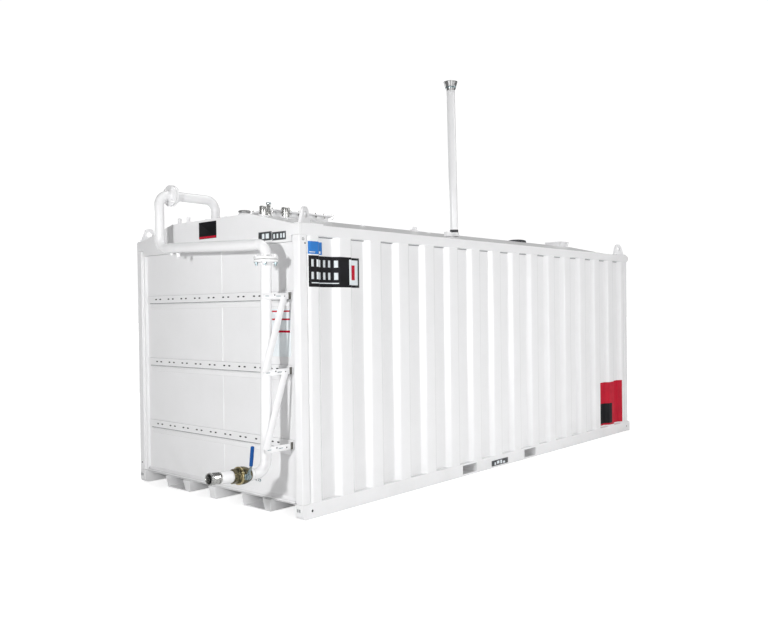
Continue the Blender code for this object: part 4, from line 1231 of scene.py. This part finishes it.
class TANK_OT_roof_fittings(bpy.types.Operator):
    """Fits the manway, the filler caps, the hatches and the small studs of the roof"""

    bl_idname = "tank.roof_fittings"
    bl_label = "Roof fittings"

    def execute(self, context):
        self.manway()
        self.caps()
        self.hatches()
        self.small()
        return {"FINISHED"}

    def manway(self):
        """The cover and flange of the manway and the studs round its rim."""
        (x0, x1), (y0, y1) = MANWAY
        top = MANWAY_TOP

        def rim(inset, corner, steps):
            return rectangle((x0 + inset, y0 + inset), (x1 - inset, y1 - inset), corner, steps)

        piece("manway_plates", [
            slab(rim(0.0, 0.03, 6), top - 0.0068, top, "Z", 0.0018),
            slab(rim(0.001, 0.03, 6), top - 0.014, top - 0.0074, "Z", 0.0015),
        ], WHITE, stands_for=["manway_cover"])
        inset = 0.0175
        across = np.linspace(x0 + inset, x1 - inset, 4)
        along = np.linspace(y0 + inset, y1 - inset, 8)
        spots = [(x, y) for x in (across[0], across[-1]) for y in along]
        spots += [(x, y) for y in (along[0], along[-1]) for x in across[1:-1]]
        bolts = []
        for x, y in spots:
            bolts += fastener(facing((x, y, top), (0, 0, 1)), 12, stud=0.25)
            bolts += fastener(facing((x, y, top - 0.014), (0, 0, -1)), 12, stud=1.0)
        piece("manway_studs", bolts, STEEL)
        neck = rim(0.035, 0.05, 8)
        path = points_of(neck[:, 0], neck[:, 1], ROOF_TOP + 0.002)
        piece("manway_wall", [
            slab(neck, ROOF_TOP + GAP, top - 0.0143, "Z", 0.0008),
            swept(path, circle(6), 0.004, closed=True),
        ], WHITE, stands_for=["manway_neck"])

    def caps(self):
        """The two polished filler caps on their white rings."""
        for which, (x, y, top) in FILLER_CAPS.items():
            foot = 1000 * (shoulder_z(x) - top) - 12
            cap = turned([
                (31, 0), (36.5, -5), (37, -10), (35.5, -12), (37, -14), (37, -60), (34.5, -63),
                (34.5, foot),
            ], Matrix.Translation((x, y, top)), 56, 0, 1.5, 3)
            piece(f"polished_cap_{which}", [cap], STEEL, stands_for=[f"filler_cap_{which}"])
            seat = roof_slope(x, y)
            piece(f"cap_ring_{which}", [
                turned([(42, 11), (44.5, 8), (44.5, -6)], seat, 48, 0, 2, 3),
                ring_bead(seat, 0.046, 0.003),
            ], WHITE)

    def hatches(self):
        """The ribbed round cap and the box hatch with its lid.

        The round cap's rim gains up to 4 mm times cos(24 a), cut flat, which makes its ribs.
        """
        foot = ROOF_TOP + GAP
        profile = soften([
            (0.0, 2.599), (0.078, 2.597), (0.112, 2.588), (0.121, 2.577), (0.121, foot),
            (0.0, foot),
        ], 0.006, 4)
        angle = np.arange(144)[:, None] * TURN / 144
        rim = np.clip((profile[:, 0] - 0.085) / 0.03, 0.0, 1.0)
        ribs = np.clip(1.6 * np.cos(ROUND_HATCH_RIBS * angle), -1, 1)
        points = around(profile[:, 0] + rim * 0.004 * ribs, angle, profile[:, 1])
        piece("ribbed_roof_cap", [grid(points + (*ROUND_HATCH, 0.0), wrap_rows=True)], RUBBER_AND_SHADE,
              stands_for=["round_hatch"])
        shapes = [
            block((0.336, 2.366, foot), (0.572, 2.592, 2.604), "Z", 0.008, 0.001),
            block((0.330, 2.360, 2.6045), (0.578, 2.598, 2.622), "Z", 0.010, 0.003),
        ]
        for y in (2.402, 2.522):
            shapes.append(turned([(3.5, 36), (3.5, 0)], facing((0.334, y, 2.604), (0, 1, 0)), 16))
        shapes.append(block((0.573, 2.462, 2.575), (0.5795, 2.496, 2.612), "X", 0.004, 0.0015))
        piece("lidded_box_hatch", shapes, WHITE, stands_for=["box_hatch"])

    def small(self):
        """The small stubs, plugs and studs that stand on the roof."""
        stubs = [
            turned([(18, z), (19.5, z - 14), (17.5, z - 18), (17.5, 6), (24, 0)],
                   roof_slope(x, -2.95), 32, 0, 3, 3)
            for x, z in ((-0.575, 62), (-0.43, 65))
        ]
        stubs += [
            turned([(0, 18), (16, 16), (22, 0)], roof_slope(x, -2.95), 32, 0, 6)
            for x in (-0.14, 0.156)
        ]
        piece("roof_stubs", stubs, WHITE)
        seat = roof_slope(0.423, -2.95)
        piece("gauge_cap", [
            turned([(40, 26), (52, 14), (58, 0)], seat, radius=5),
            turned([(0, 47), (44, 46), (54, 41), (55, 30), (47, 26)], seat, 48, 1, 3),
        ], WHITE, "cast_alloy")
        seat = roof_slope(0.55, -2.78)
        piece("dip_tube", [
            turned([(18.5, 112), (18.5, 28), (22.5, 24), (22.5, 0)], seat, 32, 0, 2, 3),
            turned([(19, 121), (22, 117), (22, 103)], seat, 32, 1, 2, 3),
        ], STEEL, ZINC)
        studs = [
            turned([(0, z), (20, z - 2), (30, 0)], roof_slope(x, y), 28, 0, 4)
            for x, y, z in ((0.659, -1.681, 10), (0.70, -0.70, 8))
        ]
        studs.append(turned([(20, 42), (23, 36), (23, 10), (46, 8), (50, 0)],
                            roof_slope(0.60, -0.814), 36, 0, 3, 3))
        piece("roof_plugs", studs, WHITE)


class TANK_OT_vent(bpy.types.Operator):
    """Makes the tall vent pipe, its threaded foot and its flared cap"""

    bl_idname = "tank.vent"
    bl_label = "Vent"

    def execute(self, context):
        foot = Vector((VENT_X, VENT_Y, shoulder_z(VENT_X) + 0.012))
        head = Vector((VENT_X, VENT_Y - VENT_LEAN, VENT_TOP))
        lean, top = facing(foot, head - foot), facing(head, head - foot)
        thread = [(0, 66)] + [(44.5 + 1.2 * (k % 2), 64 - 4 * k) for k in range(9)] + [(0, 30)]
        piece("vent_tube", [
            turned([(44.5, 1000 * (head - foot).length), (44.5, 30)], lean, radius=1),
            turned(thread, lean, 48, 1),
            turned([(49, 34), (52.5, 30), (52.5, -4), (60, -10)], lean, 48, 0, 2, 3),
            ring_bead(roof_slope(VENT_X, VENT_Y), 0.056, 0.004),
            block((0.935, -0.735, 2.474), (0.985, -0.665, 2.522), "Z", 0.006, 0.003),
        ], WHITE, RUBBER_AND_SHADE, stands_for=["vent_pipe"])
        clamp = shifted(top, 0.052, -0.030, 0.030) @ facing((0, 0, 0), (0, -1, 0))
        piece("flared_vent_cap", [
            turned([
                (0, 70), (44, 72), (52, 86), (70, 94.5), (74.5, 94.5), (74.5, 91), (62, 52),
                (47.5, 6), (46, 0.3),
            ], top, 56, 0, 2, 3),
            turned([(0, 108.5), (40, 106), (49, 98), (49, 82), (0, 78)], top, 48, 1, 4),
            turned([(54, 40), (58, 40), (56, 22), (50, 22)], top, 48, 2, 1, 2, ring=True),
            *fastener(clamp, 8, 2),
        ], "cast_alloy", RUBBER_AND_SHADE, ZINC, stands_for=["vent_cap"])
        return {"FINISHED"}


# Blank sheets of vinyl on the long side, in mm: y from and to, z from and to, how far out of
# the wall, and which of the sign's finishes. The black one has two rows of plain blocks.
WALL_SHEETS = {
    "side_sign": (("sign_vinyl", PALE, RED), [
        (y, y + 26, low, high, 0.9, 1)
        for low, high in ((2074, 2134), (1970, 2030)) for y in -2893 + 58.5 * np.arange(6)
    ] + [
        (-2926, -2278, 1906, 2166, 0.6, 0), (-2893, -2570, 1936, 1944, 0.9, 1),
        (-2448, -2296, 1928, 2146, 0.9, 1), (-2408, -2334, 1972, 2102, 1.2, 2),
    ]),
    "side_notice": (("notice_vinyl", PALE), [
        (-2933, -2725, 2174, 2285, 0.4, 1), (-2930, -2728, 2177, 2282, 0.7, 0),
        (-2915, -2850, 2190, 2197, 1.0, 1), (-2775, -2745, 2186, 2206, 1.0, 1),
    ]),
    "corner_sign": ((RED, PALE, "sign_vinyl"), [
        (2252, 2876, 136, 717, 0.4, 1), (2258, 2870, 142, 711, 0.7, 0),
        (2300, 2560, 165, 430, 1.0, 2),
    ]),
}
# The header's two plates, in mm: x and z from and to, and their pale fields as shares of x
HEADER_PLATES = (
    (708, 880, 2306, 2380, ((0.28, 0.46), (0.56, 0.80))),
    (886, 1060, 2300, 2369, ((0.10, 0.22), (0.34, 0.46), (0.60, 0.72), (0.80, 0.92))),
)


class TANK_OT_signs(bpy.types.Operator):
    """Lays the blank signs and plates where the tank carries them"""

    bl_idname = "tank.signs"
    bl_label = "Blank signs and plates"

    def execute(self, context):
        line = wall_line(1, context.scene.tank_sizes.fold)
        for name, (finishes, sheets) in WALL_SHEETS.items():
            shapes = [self.on_wall(line, *sheet) for sheet in sheets]
            thickened(piece(name, shapes, *finishes), 0.0004)
        face = -1000 * HALF_L
        piece("header_sign", [
            plate(-147, 2380, 117, 2534, 2, face - 1.8, face),
            plate(-143, 2384, 113, 2402, 1, face - 2.4, face - 1, edge=0.2, slot=1),
        ], "sign_vinyl", RED)
        shapes = []
        for x0, x1, z0, z1, fields in HEADER_PLATES:
            shapes.append(plate(x0, z0, x1, z1, 4, face - 2, face, edge=0.6))
            for first, last in fields:
                low, high = x0 + (x1 - x0) * first, x0 + (x1 - x0) * last
                shapes.append(plate(low, z0 + 16, high, z1 - 16, 2, face - 2.6, face - 1, slot=2))
            for x in (x0 + 8, x1 - 8):
                for z in (z0 + 8, z1 - 8):
                    spot = facing((x / 1000, face / 1000 - 0.002, z / 1000), (0, -1, 0))
                    shapes.append(turned([(0, 2.5), (3, 1.8), (4, 0)], spot, 12, 1, 1, 2))
        piece("header_plates", shapes, "anodised_plate", ZINC, PALE)
        # The panel on the end wall behind the upper brace, with its three stripes
        back = 1000 * END_FACE
        shapes = [plate(818, 1329, 1051, 1729, 3, back - 3, back + 1)]
        for low, high in ((1702, 1715), (1634, 1648), (1530, 1548)):
            shapes.append(plate(822, low, 1047, high, 1, back - 3.6, back - 2.6, "Y", 0.2, 1))
        piece("end_wall_panel", shapes, PALE, RED)
        self.marks(face)
        side = 1000 * HALF_W
        shapes = [plate(-315, 20, 0, 79, 3, side, side + 1.8, "X", 0.5)]
        for y0, y1, z0, z1 in ((-262, -236, 28, 56), (-216, -170, 36, 66), (-150, -118, 30, 68),
                               (-98, -60, 28, 50)):
            shapes.append(plate(y0, z0, y1, z1, 2, side + 1, side + 2.4, "X", slot=1))
        piece("rail_plate", shapes, "anodised_plate", PALE)
        return {"FINISHED"}

    def on_wall(self, line, y0, y1, z0, z1, out, slot):
        """A sheet of vinyl laid on the wall's folds between two lines, in mm."""
        y0, y1 = y0 / 1000, y1 / 1000
        inside = line[(line[:, 1] > y0) & (line[:, 1] < y1)]
        ends = [(np.interp(y, line[:, 1], line[:, 0]), y) for y in (y0, y1)]
        strip = np.vstack([ends[:1], inside, ends[1:]])
        return wall_surface(strip, z0 / 1000, z1 / 1000, 1, 7, SHEET_RIPPLE, out / 1000, slot)

    def marks(self, face):
        """The tie-down holes of the feet, with dark discs that paint the shade inside them, grey
        fields of painted shade in the slots on the feet's fronts, and the two small marks on the
        front post.
        """
        shapes = []
        for y in (-2.925, 2.985):
            place = facing((HALF_W, y, 0.0664), (1, 0, 0))
            shapes.append(turned([(23.5, 0), (22.5, 4), (11.5, 4), (11.5, 0)], place, 32,
                                 radius=(0, 1.5, 1.5, 0), steps=3, ring=True))
            # A dark disc in each tie-down hole paints the shade inside it
            shapes.append(turned([(12, 1.2), (12, 0)], place, 24, 1))
        for x in (1176, -1178):
            shapes.append(plate(x - 30, 55, x + 26, 100, 18, face - 3, face, edge=1.2))
            for first, last in ((-22, -8), (0, 16)):
                # Grey fields on the feet's front plates paint the shade in their slots
                shapes.append(plate(x + first, 64, x + last, 91, 6, face - 3.6, face - 2, slot=2))
        spot = facing((-1.182, -HALF_L, 0.199), (0, -1, 0))
        shapes.append(turned([(7, 2), (8, 0)], spot, 16, 1))
        shapes.append(ring_bead(facing((HALF_W, -2.986, 2.294), (1, 0, 0)), 0.010, 0.0018, 1))
        tick = facing((HALF_W, -2.965, 2.261), (1, 0, 0))
        shapes.append(turned([(6, 2), (7, 0)], tick, 16, 1))
        piece("foot_holes", shapes, WHITE, RUBBER_AND_SHADE, SHADE_GREY)


class TANK_OT_studio(bpy.types.Operator):
    """Lays the pale floor and sets the soft lights and the camera"""

    bl_idname = "tank.studio"
    bl_label = "Studio"

    def execute(self, context):
        self.floor()
        self.lights(context)
        self.camera(context)
        return {"FINISHED"}

    def floor(self):
        """A round pale floor that fades into the same white as the room behind it."""
        radius = np.array([0.0, 2.0, 5.0, 9.0, 16.0, 30.0, 60.0, 140.0])
        angle = np.arange(96)[:, None] * TURN / 96
        points, faces, _ = grid(around(radius, angle, -0.002), wrap_rows=True, flip=True)
        mesh = bpy.data.meshes.new("studio_floor")
        mesh.from_pydata(points.tolist(), [], faces[0].tolist())
        merge(mesh)
        obj = bpy.data.objects.new("studio_floor", mesh)
        bpy.context.scene.collection.objects.link(obj)
        mesh.materials.append(self.floor_finish())

    def floor_finish(self):
        """Painted screed: a matt near-white, lifted towards the room's for the lens alone."""
        pale = linear("#E4E4E4")
        material, tree, shader, place = new_finish("painted_screed", pale, 0.9)
        mixed(tree, shader, noise(tree, place, 0.8, 3.0), pale, linear("#ECECEC"))
        away = put(tree, "ShaderNodeVectorMath", {"operation": "LENGTH"}, {0: place})
        far = ranged(tree, away.outputs["Value"], 4.0, 16.0, FLOOR_GLOW, ROOM_WHITE,
                     interpolation_type="SMOOTHSTEP")
        seen = put(tree, "ShaderNodeLightPath").outputs["Is Camera Ray"]
        shader.inputs["Emission Color"].default_value = (1.0, 1.0, 1.0, 1.0)
        tree.links.new(joined(tree, "MULTIPLY", far, seen), shader.inputs["Emission Strength"])
        return material

    def lights(self, context):
        """A bright room seen by the lens, a dim one that lights, and the soft boxes."""
        world = bpy.data.worlds.new("studio")
        world.use_nodes = True
        tree = world.node_tree
        back = tree.nodes["Background"]
        back.inputs["Color"].default_value = (1.0, 1.0, 1.0, 1.0)
        seen = put(tree, "ShaderNodeLightPath").outputs["Is Camera Ray"]
        strength = ranged(tree, seen, 0.0, 1.0, ROOM_LIGHT, ROOM_WHITE)
        tree.links.new(strength, back.inputs["Strength"])
        context.scene.world = world
        context.scene.view_settings.view_transform = "Standard"
        for name, power, size, place, aim, spread in SOFT_BOXES:
            data = bpy.data.lights.new(name, "AREA")
            data.energy = power
            data.shape = "RECTANGLE"
            data.size, data.size_y = size
            data.spread = math.radians(spread)
            obj = bpy.data.objects.new(name, data)
            context.scene.collection.objects.link(obj)
            obj.location = place
            direction = Vector(aim) - Vector(place)
            obj.rotation_euler = direction.to_track_quat("-Z", "Y").to_euler()
            obj.visible_camera = False

    def camera(self, context):
        """The photograph's camera: its place, its two angles, its roll and its lens."""
        azimuth, elevation = CAMERA_AZIMUTH, CAMERA_ELEVATION
        back = Vector((
            math.sin(azimuth) * math.cos(elevation), -math.cos(azimuth) * math.cos(elevation),
            math.sin(elevation),
        ))
        right = (-back).cross(Vector((0.0, 0.0, 1.0))).normalized()
        up = right.cross(-back)
        cosine, sine = math.cos(CAMERA_ROLL), math.sin(CAMERA_ROLL)
        axes = (right * cosine + up * sine, up * cosine - right * sine, back)
        data = bpy.data.cameras.new("photo_camera")
        data.sensor_width = 36.0
        data.lens = CAMERA_LENS
        data.clip_end = 400.0
        obj = bpy.data.objects.new("photo_camera", data)
        context.scene.collection.objects.link(obj)
        obj.matrix_world = Matrix.Translation(CAMERA_PLACE) @ Matrix(axes).transposed().to_4x4()
        context.scene.camera = obj


OPERATORS = (
    TANK_OT_frame, TANK_OT_long_walls, TANK_OT_end_walls, TANK_OT_straps, TANK_OT_pipes,
    TANK_OT_valve, TANK_OT_roof_fittings, TANK_OT_vent, TANK_OT_signs, TANK_OT_studio,
)


class TANK_PT_panel(bpy.types.Panel):
    """Lists the tank's sizes, colours and the steps that make its pieces"""

    bl_idname = "TANK_PT_panel"
    bl_label = "Diesel tank"
    bl_space_type = "VIEW_3D"
    bl_region_type = "UI"
    bl_category = "Diesel tank"

    def draw(self, context):
        layout = self.layout
        for group in (context.scene.tank_sizes, context.scene.tank_colours):
            box = layout.box()
            for name in group.__annotations__:
                box.prop(group, name)
        for operator in OPERATORS:
            layout.operator(operator.bl_idname)


CLASSES = (TankSizes, TankColours, *OPERATORS, TANK_PT_panel)


def register():
    """Registers the classes and puts the sizes and colours on the scene."""
    for item in CLASSES:
        bpy.utils.register_class(item)
    bpy.types.Scene.tank_sizes = PointerProperty(type=TankSizes)
    bpy.types.Scene.tank_colours = PointerProperty(type=TankColours)


def unregister():
    """Takes the sizes and colours off the scene and unregisters the classes."""
    del bpy.types.Scene.tank_sizes
    del bpy.types.Scene.tank_colours
    for item in reversed(CLASSES):
        bpy.utils.unregister_class(item)


def main():
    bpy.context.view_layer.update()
    register()
    for operator in OPERATORS:
        group, name = operator.bl_idname.split(".")
        getattr(getattr(bpy.ops, group), name)()


if __name__ == "__main__":
    main()
